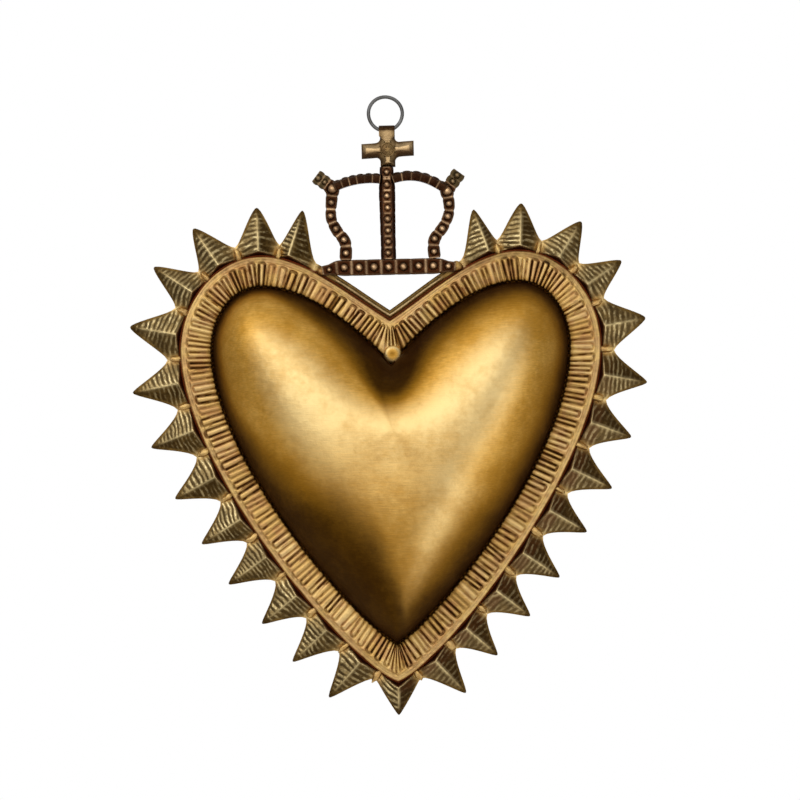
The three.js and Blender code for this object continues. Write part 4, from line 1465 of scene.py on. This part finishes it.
@dataclass
class BeadedStrip:
    """Stamped strip with a pearl in each cell and a low ridge between the cells."""

    path: list[tuple[float, float]]
    cells: list[float]
    widths: list[float]
    back: float = 2.5
    pearls: list[float] = field(default_factory=lambda: [1.8])
    pearl_rise: float = 1.15
    ridge: float = 0.35
    on_edge: bool = False
    plane: float = 1.5
    seed: int = 1
    bright_bars: tuple[int, ...] = ()
    bar_glow: tuple[float, float] = (0.7, 1.5)
    bar_half: float = 0.34
    pearl_glow: float = 1.0
    column: float = 0.0
    dull_end: float = 0.0
    pinch: float = 0.15
    face_rows: int = 18
    rows: int = 22
    cell_columns: int = 16

    def __post_init__(self) -> None:
        """Measures the path and smooths its direction."""
        line = np.array(self.path)
        reach = reach_along(line)
        self.length = reach[-1]
        self.fine = np.linspace(0.0, self.length, 400)
        self.line = pair_at(self.fine, reach, line)
        slope = np.gradient(self.line, self.fine, axis=0)
        padded = np.pad(slope, ((15, 15), (0, 0)), mode="edge")
        kernel = np.ones(31) / 31
        self.slope = np.stack([np.convolve(padded[:, k], kernel, "valid") for k in (0, 1)], axis=1)
        self.bounds = np.array(self.cells)

    def centre_line(self, share: np.ndarray) -> tuple[np.ndarray, np.ndarray]:
        """Places and directions along the strip's middle.

        Args:
            share: Shares of the strip's length.

        Returns:
            Places and unit directions, each with two columns.
        """
        where = share * self.length
        along = pair_at(where, self.fine, self.slope)
        return pair_at(where, self.fine, self.line), along / np.hypot(*along.T)[:, None]

    def width_at(self, share: np.ndarray) -> np.ndarray:
        """Widths of the strip at shares of its length, in millimetres."""
        return np.interp(share, np.linspace(0, 1, len(self.widths)), self.widths)

    def relief(self, share: np.ndarray, across: np.ndarray) -> tuple[np.ndarray, Marks]:
        """Height of the stamped face above the strip's back, and its marks.

        Args:
            share: Shares of the strip's length.
            across: Distances from the middle, in millimetres.

        Returns:
            Heights in millimetres and the marks.
        """
        hand = random.Random(self.seed)
        bounds = self.bounds
        cell = np.clip(np.searchsorted(bounds, share, side="right") - 1, 0, len(bounds) - 2)
        low, high = bounds[cell] * self.length, bounds[cell + 1] * self.length
        offset = share * self.length - (low + high) / 2
        from_edge = self.width_at(share) / 2 - np.abs(across)
        sizes = np.array([hand.uniform(0.93, 1.05) for _ in bounds])
        shifts = np.array([hand.uniform(-0.12, 0.12) for _ in bounds])
        pearls = np.resize(self.pearls, len(bounds))
        radius = np.minimum(pearls[cell], (high - low) / 2 - 0.2) * sizes[cell]
        gap = np.hypot(offset + shifts[cell], across - shifts[cell]) / radius
        dome = np.sqrt(clamp(1.0 - gap**2))
        ends = share * self.length
        bar = bump(np.minimum(ends - low, high - ends), self.bar_half)
        nearest = np.where(ends - low < high - ends, cell, cell + 1)
        glow = np.array([hand.uniform(*self.bar_glow) for _ in range(len(bounds) + 1)])
        glow[list(self.bright_bars)] = 1.3
        rail = smoothstep(0.0, 0.7, from_edge)
        height = self.back - 0.45 * (1.0 - rail)
        height = height + self.ridge * bar * smoothstep(0.0, 0.6, from_edge)
        height = height - 0.22 * bump(gap - 1.08, 0.14)
        if self.column:
            raised = fade(self.column, self.column + 0.7, np.abs(across))
            height = height - 0.75 * (1.0 - raised)
            bar = bar * fade(0.6 * self.column, self.column, np.abs(across))
        height = height + self.pearl_rise * dome

        shine = np.array([hand.uniform(0.45, 0.95) for _ in bounds]) * self.pearl_glow
        pearl = 0.34 * smoothstep(0.15, 0.6, dome) + 0.66 * smoothstep(0.86, 0.99, dome)
        wear = clamp(pearl * shine[cell] + 0.6 * bar * glow[nearest])
        wear = np.maximum(wear * rail, 0.16 * bump(from_edge - 0.25, 0.22))
        ring = 0.9 - 0.55 * (self.column > 0.0)
        cavity = clamp(bump(gap - 1.05, 0.3) * ring + (1.0 - rail) * 0.6) * (1.0 - bar)
        floor = 0.6 * (1.0 - 0.9 * smoothstep(0.05, 0.5, dome))
        cavity = np.maximum(cavity, floor * (1.0 - bar))
        if self.column:
            cavity = np.maximum(cavity * (1.0 - 0.5 * raised), 0.9 * (1.0 - raised))
            wear = np.maximum(wear, 0.03) * raised
        dulled = self.dull_end * smoothstep(0.0, 0.02, share - bounds[-3])
        cavity, wear = cavity * (1.0 - 0.5 * dulled), wear * (1.0 - 0.6 * dulled)
        return height, {"cavity": cavity, "wear": wear, "foot": dulled}

    def surface(self, along: np.ndarray, around: np.ndarray) -> Sheet:
        """The strip's stamped face, its edges and its flat back.

        Args:
            along: Shares of the strip's length.
            around: Shares of the way round it, from one edge of the face.

        Returns:
            The sheet.
        """
        place, way = self.centre_line(along)
        row = around * self.rows
        gaps = np.abs((along * self.length)[:, None] - (self.bounds * self.length)[None, :])
        width = self.width_at(along) - self.pinch * bump(gaps.min(axis=1), 0.6)
        turns = [0, self.face_rows, self.face_rows + 1, self.rows - 1, self.rows]
        across = np.interp(row, turns, [-0.5, 0.5, 0.5, -0.5, -0.5]) * width
        height, marks = self.relief(along, across)
        under = (row > self.face_rows + 0.5) & (row < self.rows - 0.5)
        height = np.where(under, 0.0, height)
        wobble = 0.12 * waves(*place.T, 6.0, float(self.seed))
        if self.on_edge:
            up = np.stack([-way[:, 1], way[:, 0]], axis=1)
            spot = place + up * (height + wobble)[:, None]
            depth = self.plane - width / 2 + across
        else:
            side = np.stack([way[:, 1], -way[:, 0]], axis=1)
            spot = place + side * (across + wobble * 0.6)[:, None]
            depth = self.plane - height
        glow = 0.25 + 0.75 * np.abs(np.sin(gaps.argmin(axis=1) * 2.3 + self.seed))
        bar = bump(gaps.min(axis=1), 0.2) * glow**2 * (0.36 if self.on_edge else 0.3)
        plain = under | self.on_edge
        marks["cavity"] = np.where(plain, 0.92 * (1.0 - bar), marks["cavity"])
        marks["wear"] = np.where(under, bar, marks["wear"])
        if self.on_edge:
            marks["wear"] = np.maximum(marks["wear"] * 0.4, bar)
        points = np.stack([spot[:, 0], depth, spot[:, 1]], axis=1)
        return Sheet(points, np.stack([along * self.length, around * width * 2], axis=1) / UV_UNIT, marks)

    def build(self) -> Mesh:
        """Builds the closed strip.

        Returns:
            The mesh.
        """
        bm = worked_sheet((len(self.cells) - 1) * self.cell_columns, self.rows, self.surface)
        close_up(bm)
        return bm


@dataclass
class Crown:
    """Open crown of beaded strips: base, post, two sides with flared ends and two arches."""

    finish: AgedMetal
    solder: AgedMetal
    base_top: float = -62.53
    base_height: float = 6.2
    base_length: float = 52.0
    base_pearls: int = 9
    post_height: float = 31.2
    post_top: float = -26.63
    side_beads: int = 5
    knob: float = 5.6
    knots: dict[Side, tuple[tuple[float, float], ...]] = field(default_factory=lambda: {
        Side.RIGHT: (
            (18.0, 0.0), (17.9, 6.8), (21.6, 12.1), (23.6, 16.4), (24.1, 20.0), (23.8, 23.3), (23.2, 26.2),
        ),
        Side.LEFT: (
            (16.7, 0.0), (16.8, 6.8), (19.7, 11.2), (21.7, 15.2), (22.1, 19.0), (21.6, 24.5), (21.1, 27.9),
        ),
    })
    flares: dict[Side, tuple[float, float]] = field(
        default_factory=lambda: {Side.RIGHT: (8.6, 36.5), Side.LEFT: (8.2, 52.0)}
    )
    arch_crests: dict[Side, float] = field(
        default_factory=lambda: {Side.RIGHT: 3.2, Side.LEFT: 1.2}
    )

    def base(self) -> Mesh:
        """Straight strip that carries the crown.

        Returns:
            The mesh.
        """
        half, middle = self.base_length / 2, self.base_top - self.base_height / 2
        cells = list(np.linspace(0.0, 1.0, self.base_pearls + 1))
        inner = half * (1.0 - 2.0 / self.base_pearls)
        path = [(-half, middle - 1.0), (-inner, middle), (inner, middle), (half, middle - 0.6)]
        full = self.base_height
        widths = [3.8, 4.0, 5.8] + [full] * 13 + [5.8, 4.2, 4.0]
        pearls = [1.0] + [1.5] * (self.base_pearls - 2) + [1.2, 1.1]
        return BeadedStrip(path, cells, widths, pearls=pearls, pearl_glow=1.1, seed=5).build()

    def post(self) -> Mesh:
        """Upright strip up to the cross.

        Returns:
            The mesh.
        """
        length = self.post_top - self.base_top
        cells = [k * self.post_height / 7 / length for k in range(8)] + [(length - 4.0) / length, 1.0]
        widths = [6.0, 5.9, 5.9, 6.0, 6.1, 6.2, 6.4, 6.4, 5.5, 5.4]
        return BeadedStrip(
            [(0.0, self.base_top), (0.0, self.post_top)], cells, widths, pearls=[1.25] * 8 + [1.1],
            bright_bars=(6, 8), bar_glow=(0.6, 1.4), bar_half=0.36, pearl_glow=1.1, column=1.6, seed=9,
        ).build()

    def side(self, side: Side) -> Mesh:
        """Curved side strip with its flared end.

        Args:
            side: Which half of the crown.

        Returns:
            The mesh.
        """
        line = self.rounded([Vector((x, self.base_top + z)) for x, z in self.knots[side]])
        flare, angle = self.flares[side][0], math.radians(self.flares[side][1])
        end = Vector(line[-1]) + Vector((math.sin(angle), math.cos(angle))) * flare
        below = sum((Vector(b) - Vector(a)).length for a, b in zip(line, line[1:]))
        whole = below + flare
        neck = below - self.knob / 2
        cells = [neck * k / self.side_beads / whole for k in range(self.side_beads + 1)]
        top = below + self.knob / 2
        cells += [top / whole, (top + (whole - top) / 2) / whole, 1.0]
        line.append((end.x, end.y))
        path = [(x * side.value, z) for x, z in line]
        widths = [4.9, 4.8, 4.6, 4.4, 4.2, 4.2, 4.6, 5.6, 5.6, 5.8]
        pearls = [1.35] * self.side_beads + [2.0, 1.0, 1.1]
        return BeadedStrip(
            path, cells, widths, pearls=pearls, pearl_glow=1.0, bar_glow=(0.6, 1.4), bar_half=0.34,
            pinch=0.65, dull_end=0.85, seed=13 + side.value,
        ).build()

    @staticmethod
    def rounded(knots: list[Vector]) -> list[tuple[float, float]]:
        """Smooth row of places through knots.

        Args:
            knots: The knots, in millimetres.

        Returns:
            The places.
        """
        line = []
        padded = [knots[0], *knots, knots[-1]]
        for before, first, second, after in zip(padded, padded[1:], padded[2:], padded[3:]):
            for step in range(12):
                t = step / 12
                place = 0.5 * (
                    2 * first + (second - before) * t
                    + (2 * before - 5 * first + 4 * second - after) * t**2
                    + (3 * first - before - 3 * second + after) * t**3
                )
                line.append((place.x, place.y))
        line.append((knots[-1].x, knots[-1].y))
        return line

    def arch(self, side: Side) -> Mesh:
        """Strip set on edge, from the post to a side.

        Args:
            side: Which half of the crown.

        Returns:
            The mesh.
        """
        knob = self.knots[side][-1]
        inner = Vector((2.8, self.base_top + self.post_height - 1.7))
        outer = Vector((knob[0] - 1.3, self.base_top + knob[1] - 0.9))
        crest = Vector((outer.x * 0.55, inner.y + self.arch_crests[side]))
        line = []
        for step in range(31):
            t = step / 30
            place = inner * (1 - t) ** 2 + crest * 2 * t * (1 - t) + outer * t**2
            line.append((place.x * side.value, place.y))
        if side is Side.LEFT:
            line.reverse()
        cells = list(np.linspace(0.0, 1.0, 7))
        return BeadedStrip(
            line, cells, [4.2, 4.2], back=3.3, pearls=[1.8], pearl_rise=0.6, ridge=0.25, on_edge=True,
            seed=17 + side.value,
        ).build()

    def solder_blobs(self) -> Mesh:
        """Lumps of solder where the crown's base meets the heart.

        Returns:
            The mesh.
        """
        bm = bmesh.new()
        half = self.base_length / 2
        spots = [
            (Vector((half + 0.4, 1.1, self.base_top - 3.4)), Vector((2.6, 1.4, 2.0))),
            (Vector((-half - 0.2, 1.1, self.base_top - 4.4)), Vector((1.8, 1.2, 1.6))),
        ]
        for place, size in spots:
            seed = Vector((place.x, place.z, 0))
            for vert in bmesh.ops.create_icosphere(bm, subdivisions=4, radius=MM)["verts"]:
                wobble = 1.0 + 0.18 * noise.noise(vert.co * 900 + seed)
                vert.co = place * MM + vert.co * size * wobble
        return marked(bm, gild=0.8, wear=0.1, cavity=0.35)

    def build(self) -> None:
        """Builds and dresses the crown."""
        strips = [
            ("crown_base_strip", "crown_base", self.base()),
            ("crown_post_strip", "crown_post", self.post()),
        ]
        for kind, make in (("side", self.side), ("arch", self.arch)):
            for side in Side:
                half = side.name.lower()
                strips.append((f"crown_{kind}_strip_{half}", f"crown_{kind}_{half}", make(side)))
        for name, node, bm in strips:
            finished(name, bm, Place("heart", node, "dark_brass"), self.finish.material())
        blobs, place = self.solder_blobs(), Place("heart", None, "fine_brass")
        finished("solder_blobs", blobs, place, self.solder.material())


# Cross and ring


@dataclass
class Cross:
    """Cross pressed from sheet, with a boss and a rolled eye for the ring."""

    finish: AgedMetal
    top: float = -14.2333
    height: float = 12.4
    span: float = 20.4
    arm_height: float = 5.8
    post_width: float = 5.8
    arms_below_top: float = 5.7
    bevel: float = 2.4
    bevel_fall: float = 1.0
    front: float = -2.05
    back: float = 1.5
    boss: float = 2.95
    eye_bore: float = 1.3
    sheet: float = 0.5
    eye_width: float = 6.2
    tongue: float = 2.4
    tongue_end: float = 2.2
    curl: float = 290.0
    hinge: float = -12.2333
    tilt: float = 2.6
    shift: float = 0.6
    eye_shift: float = 0.4
    corner_round: float = 1.7
    edge_round: float = 0.16
    eye_round: float = 0.2
    curl_start: float = -12.9
    curl_full: float = -12.1

    def pan(self) -> Mesh:
        """Bevelled cross with raised fields on its arms.

        Returns:
            The mesh.
        """
        bm = bmesh.new()
        bmesh.ops.create_grid(bm, x_segments=3, y_segments=3, size=0.5)
        middle = self.top - self.arms_below_top
        columns = [-self.span / 2, -self.post_width / 2, self.post_width / 2, self.span / 2]
        half = self.arm_height / 2
        rows = [self.top - self.height, middle - half, middle + half, self.top]
        centres = {face: face.calc_center_median() for face in bm.faces}
        corners = [face for face, spot in centres.items() if min(abs(spot.x), abs(spot.y)) > 0.2]
        bmesh.ops.delete(bm, geom=corners, context="FACES")
        for vert in bm.verts:
            column, row = (round((part + 0.5) * 3) for part in vert.co[:2])
            vert.co = Vector((columns[column], self.back, rows[row])) * MM
        pushed(bm, list(bm.faces), Vector((0.0, self.front - self.back, 0.0)))
        bmesh.ops.recalc_face_normals(bm, faces=bm.faces)
        inner = [
            edge for edge in bm.edges
            if abs(edge.verts[0].co.y - edge.verts[1].co.y) > 0.5 * MM and not edge.is_convex
        ]
        bevelled(bm, inner, self.corner_round, segments=6)
        bm.normal_update()
        level = self.front * MM + 1e-6
        front = [face for face in bm.faces if all(vert.co.y < level for vert in face.verts)]
        made = bmesh.ops.inset_region(bm, faces=front, thickness=self.bevel * MM, depth=0.0)
        for face in made["faces"]:
            for vert in face.verts:
                if not any(other in front for other in vert.link_faces):
                    vert.co.y += self.bevel_fall * MM
        bmesh.ops.recalc_face_normals(bm, faces=bm.faces)
        bevelled(bm, [edge for edge in bm.edges if self.stands_out(edge)], self.edge_round)
        bmesh.ops.triangulate(bm, faces=[face for face in bm.faces if len(face.verts) > 4])
        return bm

    def stands_out(self, edge: bmesh.types.BMEdge) -> bool:
        """Whether an edge is sharp, on the front and clear of the boss.

        Args:
            edge: The edge.

        Returns:
            True where the edge is rounded.
        """
        middle = (self.top - self.arms_below_top) * MM
        gap = max((vert.co - Vector((0.0, vert.co.y, middle))).length for vert in edge.verts)
        sharp = edge.is_manifold and edge.calc_face_angle(0.0) > math.radians(14)
        on_front = max(vert.co.y for vert in edge.verts) < (self.back - 0.2) * MM
        return sharp and on_front and gap > (self.boss + 0.95) * MM

    def rosette(self) -> Mesh:
        """Round boss: a raised rim, a groove, a low dome and a ring of dots.

        Returns:
            The mesh, around the origin with its face along -Y.
        """
        bm = bmesh.new()
        profile = [
            (0.0, 0.75), (0.25, 0.72), (0.5, 0.6), (0.62, 0.3), (0.72, 0.24), (0.8, 0.5),
            (0.88, 0.62), (0.96, 0.5), (1.0, 0.2), (1.0, -0.35), (0.0, -0.35),
        ]
        verts = [bm.verts.new(Vector((r * self.boss, -h, 0.0)) * MM) for r, h in profile]
        edges = [bm.edges.new(pair) for pair in zip(verts, verts[1:])]
        bmesh.ops.spin(
            bm, geom=verts + edges, cent=(0, 0, 0), axis=(0, 1, 0), dvec=(0, 0, 0),
            angle=2 * math.pi, steps=40, use_merge=True,
        )
        bmesh.ops.remove_doubles(bm, verts=bm.verts, dist=1e-6)
        for index in range(6):
            turn = Matrix.Rotation(index * math.pi / 3, 4, "Y")
            spot = turn @ Vector((self.boss * 0.36, -0.62, 0.0)) * MM
            place = Matrix.Translation(spot)
            bmesh.ops.create_icosphere(bm, subdivisions=3, radius=0.34 * MM, matrix=place)
        bmesh.ops.recalc_face_normals(bm, faces=bm.faces)
        return bm

    def eye(self) -> Mesh:
        """Tongue of the sheet rolled round the ring's wire.

        Returns:
            The mesh.
        """
        bm = bmesh.new()
        half, outer = self.eye_width / 2 * MM, (self.eye_bore + self.sheet) * MM
        inner, level = self.eye_bore * MM, self.hinge * MM
        corners = [(-half, -outer), (half, -outer), (half, -inner), (-half, -inner)]
        verts = [bm.verts.new(Vector((x, y, level))) for x, y in corners]
        face = bm.faces.new(verts)
        low = pushed(bm, [face], Vector((0.0, 0.0, -self.tongue)))
        for vert in low:
            if vert.co.y < -(self.eye_bore + 0.1) * MM:
                vert.co.y = (self.front - 0.04) * MM
        low_faces = [face for face in bm.faces if all(vert in low for vert in face.verts)]
        for vert in pushed(bm, low_faces, Vector((0.0, 0.0, -self.tongue_end)), keep=False):
            vert.co.x *= 0.3
        bmesh.ops.delete(bm, geom=[face], context="FACES_ONLY")
        rim = [edge for edge in bm.edges if edge.is_boundary]
        bmesh.ops.spin(
            bm, geom=rim + verts, cent=(0, 0, level), axis=(1, 0, 0), dvec=(0, 0, 0),
            angle=-math.radians(self.curl), steps=36,
        )
        close_up(bm, FINE_WELD)
        sharp = [edge for edge in bm.edges if edge.calc_face_angle(0.0) > math.radians(50)]
        bevelled(bm, sharp, self.eye_round)
        long = [edge for edge in bm.edges if edge.calc_length() > 1.5 * MM]
        bmesh.ops.subdivide_edges(bm, edges=long, cuts=5, use_grid_fill=True)
        bmesh.ops.translate(bm, verts=bm.verts, vec=Vector((self.eye_shift * MM, 0.0, 0.0)))
        return bm

    def mark_relief(self, bm: Mesh) -> None:
        """Marks the cross from the heights of its front, with painted light: lighter upper and darker lower
        halves on the side arms, a lighter middle down the upright, and painted shade on the eye's curl.

        Args:
            bm: Mesh of the whole cross.
        """
        marked(bm)
        layers = mark_layers(bm)
        middle = self.top - self.arms_below_top
        for vert in bm.verts:
            offset, height = vert.co.x / MM - self.shift, vert.co.z / MM - middle
            fall = vert.co.y / MM - self.front
            gap = math.hypot(offset, height)
            on_arm = abs(offset) > self.post_width / 2 + 0.3
            facet = fade(0.0, 0.9, fall)
            # Painted shade over the top of the eye's curl.
            curl = smoothstep(self.curl_start, self.curl_full, vert.co.z / MM)
            clear = smoothstep(3.1, 4.7, gap)
            sunk = 0.3 * bump(gap - self.boss + 0.05, 0.6) + bump(gap - 1.7, 0.3)
            if on_arm:
                # Painted light: the upper half of each side arm lighter, the lower half darker.
                tilted = height - math.tan(math.radians(self.tilt)) * offset
                upper = smoothstep(-0.8, 0.6, tilted)
                lit, low = max(0.1 + 0.6 * facet, 0.5 * upper), 0.55 * (1.0 - upper)
                vert[layers["foot"]] = 0.5 - 0.5 * upper
            else:
                # The upright: lighter down its middle, wear and painted highlight, and darker at its sides.
                upper, patch = 0.5, bump(offset, 1.8)
                lit, low = 0.1 + 0.6 * facet * patch, 0.6 * (1.0 - patch) * clear
            wear = lit * (0.35 + 1.1 * upper) if gap > self.boss - 0.05 and fall < 1.2 else 0.08
            side = 0.45 * clear if fall > 1.1 else 0.0
            vert[layers["wear"]] = wear * (1.0 - curl)
            vert[layers["cavity"]] = min(0.45 * sunk + side + low + 0.95 * curl, 1.0)

    def build(self) -> None:
        """Builds and dresses the cross."""
        bm = self.pan()
        long = [edge for edge in bm.edges if edge.calc_length() > 1.2 * MM]
        bmesh.ops.subdivide_edges(bm, edges=long, cuts=3, use_grid_fill=True)
        for vert in bm.verts:
            reach = smoothstep(2.0, 6.0, abs(vert.co.x) / MM)
            vert.co.z += math.tan(math.radians(self.tilt)) * vert.co.x * reach
        bmesh.ops.translate(bm, verts=bm.verts, vec=Vector((self.shift * MM, 0.0, 0.0)))
        middle = Vector((self.shift, self.front, self.top - self.arms_below_top)) * MM
        on_boss = Matrix.Translation(middle) @ Matrix.Rotation(math.radians(-self.tilt), 4, "Y")
        for part, place in ((self.rosette(), on_boss), (self.eye(), Matrix.Identity(4))):
            mesh = bpy.data.meshes.new("part")
            part.to_mesh(mesh)
            part.free()
            mesh.transform(place)
            bm.from_mesh(mesh)
            bpy.data.meshes.remove(mesh)
        self.mark_relief(bm)
        finished("cross_and_eye", bm, Place("heart", "cross", "cross_brass"), self.finish.material())


@dataclass
class WireRing:
    """Closed wire ring that hangs on the nail and turns in the cross's eye."""

    finish: AgedMetal
    wire: float = 0.7
    radius: float = 6.6
    centre: float = -5.9
    unround: float = 0.05

    def build(self) -> None:
        """Builds and dresses the ring."""
        bm = bmesh.new()
        made = bmesh.ops.create_circle(bm, segments=20, radius=self.wire * MM)
        bmesh.ops.translate(bm, verts=made["verts"], vec=Vector((self.radius * MM, 0.0, 0.0)))
        bmesh.ops.spin(
            bm, geom=list(bm.verts) + list(bm.edges), cent=(0, 0, 0), axis=(0, 1, 0),
            dvec=(0, 0, 0), angle=2 * math.pi, steps=120, use_merge=True,
        )
        close_up(bm, FINE_WELD)
        for vert in bm.verts:
            angle = math.atan2(vert.co.z, vert.co.x)
            vert.co += vert.co.normalized() * self.unround * MM * math.sin(3 * angle + 0.6)
            vert.co.z += self.centre * MM
        marked(bm)
        finished("wire_ring", bm, Place("ring", "hanging_ring", "dark_steel"), self.finish.material())


# Studio


@dataclass
class Studio:
    """Pale floor, soft lamps, white surroundings and the camera."""

    floor_level: float = -0.75
    view_centre: tuple[float, float] = (0.0032, -0.1176)
    view_width: float = 0.312
    distance: float = 1.5
    roll: float = -1.3
    aim: tuple[float, float, float] = (0.0, 0.0, -0.13)
    room_light: tuple[float, float] = (0.14, 0.68)
    room_tint: tuple[float, float, float, float] = (1.0, 0.985, 0.96, 1.0)
    sensor: float = 36.0

    def floor(self) -> None:
        """Pale floor well below the heart."""
        bm = bmesh.new()
        bmesh.ops.create_grid(bm, x_segments=4, y_segments=4, size=2.4)
        bmesh.ops.translate(bm, verts=bm.verts, vec=Vector((0.0, 0.8, self.floor_level)))
        mesh = bpy.data.meshes.new("floor")
        bm.to_mesh(mesh)
        bm.free()
        board = Board("pale_floor")
        place = board.node("ShaderNodeTexCoord").outputs["Object"]
        shade = board.span(board.cloud(place, 6.0, 3.0), 0.3, 0.7)
        board.give("Base Color", board.blend(shade, (236, 234, 230), (244, 242, 239)))
        board.give("Roughness", 0.8)
        mesh.materials.append(board.material)
        floor = bpy.data.objects.new("floor", mesh)
        bpy.context.scene.collection.objects.link(floor)

    def lamp(
        self, name: str, spot: tuple[float, float, float], size: tuple[float, float], power: float,
        tint: tuple[float, float, float] = (1.0, 1.0, 1.0),
    ) -> None:
        """Adds a soft lamp that faces the heart.

        Args:
            name: Name of the lamp.
            spot: Its place, in metres.
            size: Width and height, in metres.
            power: Watts.
            tint: Its colour.
        """
        data = bpy.data.lights.new(name, "AREA")
        data.shape = "RECTANGLE"
        data.size, data.size_y = size
        data.energy = power
        data.color = tint
        lamp = bpy.data.objects.new(name, data)
        aim = Vector(self.aim) - Vector(spot)
        lamp.rotation_mode = "QUATERNION"
        lamp.rotation_quaternion = aim.to_track_quat("-Z", "Y")
        lamp.location = spot
        bpy.context.scene.collection.objects.link(lamp)

    def surroundings(self) -> None:
        """White behind the heart, and a dimmer room in front of it and at its sides."""
        world = bpy.data.worlds.new("surroundings")
        bpy.context.scene.world = world
        world.use_nodes = True
        board = NodeBoard(world.node_tree)
        board.tree.nodes.clear()
        rays = board.node("ShaderNodeLightPath").outputs
        place = board.node("ShaderNodeTexCoord").outputs["Generated"]
        axes = board.node("ShaderNodeSeparateXYZ", {0: place}).outputs
        dim, full = self.room_light
        ends = {"From Min": -0.6, "From Max": 0.6, "To Min": dim, "To Max": full}
        level = board.node("ShaderNodeMapRange", {"Value": axes["Z"]} | ends).outputs[0]
        tint = {"Color": self.room_tint, "Strength": level}
        room = board.node("ShaderNodeBackground", tint).outputs[0]
        white = board.node("ShaderNodeBackground", {"Color": (1.0, 1.0, 1.0, 1.0)}).outputs[0]
        ends = {"From Min": 0.15, "From Max": 0.6}
        behind = board.node("ShaderNodeMapRange", {"Value": axes["Y"]} | ends).outputs[0]
        through = board.math("MAXIMUM", rays["Is Glossy Ray"], rays["Is Transmission Ray"])
        seen = board.math("MULTIPLY", through, behind)
        share = board.math("MAXIMUM", rays["Is Camera Ray"], seen)
        mix = board.node("ShaderNodeMixShader", {0: share, 1: room, 2: white}).outputs[0]
        board.node("ShaderNodeOutputWorld", {"Surface": mix})

    def camera(self) -> None:
        """Camera straight in front, rolled as the photograph is."""
        data = bpy.data.cameras.new("camera")
        data.sensor_width = self.sensor
        data.lens = self.sensor * self.distance / self.view_width
        camera = bpy.data.objects.new("camera", data)
        camera.rotation_mode = "QUATERNION"
        x, z = self.view_centre
        camera.location = (x, -self.distance, z)
        level = Matrix.Rotation(math.pi / 2, 4, "X")
        rolled = level @ Matrix.Rotation(math.radians(self.roll), 4, "Z")
        camera.rotation_quaternion = rolled.to_quaternion()
        bpy.context.scene.collection.objects.link(camera)
        bpy.context.scene.camera = camera
        bpy.context.scene.view_settings.view_transform = "Standard"

    def build(self) -> None:
        """Builds the studio."""
        self.floor()
        self.lamp("key", (-0.2, -1.45, 0.22), (1.3, 1.1), 5.85, (1.0, 0.98, 0.94))
        self.lamp("top", (-0.1, -0.8, 0.95), (1.4, 0.6), 1.5)
        self.lamp("right", (0.8, -0.95, -0.45), (0.45, 0.8), 2.0)
        self.lamp("left", (-0.95, -0.95, 0.55), (0.8, 0.8), 3.0)
        self.surroundings()
        self.camera()


# Finishes of this heart

FRONT_BRASS = AgedMetal(
    "fine_brass", Pattern.PRESSED,
    body=(212, 164, 78), tarnish=(190, 140, 54), oxide=(46, 20, 5), bright=(236, 212, 154),
    gilt=(198, 158, 92), blush=(176, 128, 80), deep=(62, 37, 5), amber=(162, 114, 31),
    gloss=0.42, dullness=0.52,
)
PLATE_BRASS = AgedMetal(
    "aged_brass", Pattern.CHASED,
    body=(130, 102, 53), tarnish=(84, 63, 28), oxide=(40, 26, 10), bright=(234, 212, 158),
    gilt=(212, 174, 106), blush=(188, 146, 86), deep=(112, 50, 24), amber=(112, 72, 38),
    gloss=0.42, dullness=0.55, blotch=0.006,
)
CROWN_BRASS = AgedMetal(
    "dark_brass", Pattern.STAMPED,
    body=(98, 56, 30), tarnish=(68, 36, 18), oxide=(30, 12, 5), bright=(246, 206, 158),
    gilt=(206, 160, 96), blush=(180, 130, 80), deep=(88, 76, 50), amber=(92, 68, 40),
    gloss=0.38, dullness=0.5, blotch=0.005,
)
CROSS_BRASS = AgedMetal(
    "cross_brass", Pattern.STAMPED,
    body=(142, 117, 74), tarnish=(112, 86, 52), oxide=(50, 30, 16), bright=(206, 176, 132),
    gilt=(206, 160, 96), blush=(180, 130, 80), deep=(76, 46, 22), amber=(112, 78, 42),
    gloss=0.36, dullness=0.5, blotch=0.004,
)
RING_STEEL = AgedMetal(
    "dark_steel", Pattern.DRAWN,
    body=(110, 110, 111), tarnish=(92, 91, 89), oxide=(50, 48, 47), bright=(160, 160, 162),
    gilt=(120, 118, 110), blush=(110, 108, 104), deep=(50, 48, 47), amber=(60, 58, 56),
    gloss=0.3, dullness=0.42, blotch=0.003, grain_depth=0.000006,
)


def main() -> None:
    """Builds every piece in order, then the studio."""
    logging.basicConfig(level=logging.INFO, format="%(name)s: %(message)s")
    shape = HeartShape()
    RayedPlate(shape, PLATE_BRASS).build()
    PressedFront(shape, FRONT_BRASS).build()
    Crown(CROWN_BRASS, FRONT_BRASS).build()
    Cross(CROSS_BRASS).build()
    WireRing(RING_STEEL).build()
    Studio().build()


if __name__ == "__main__":
    main()
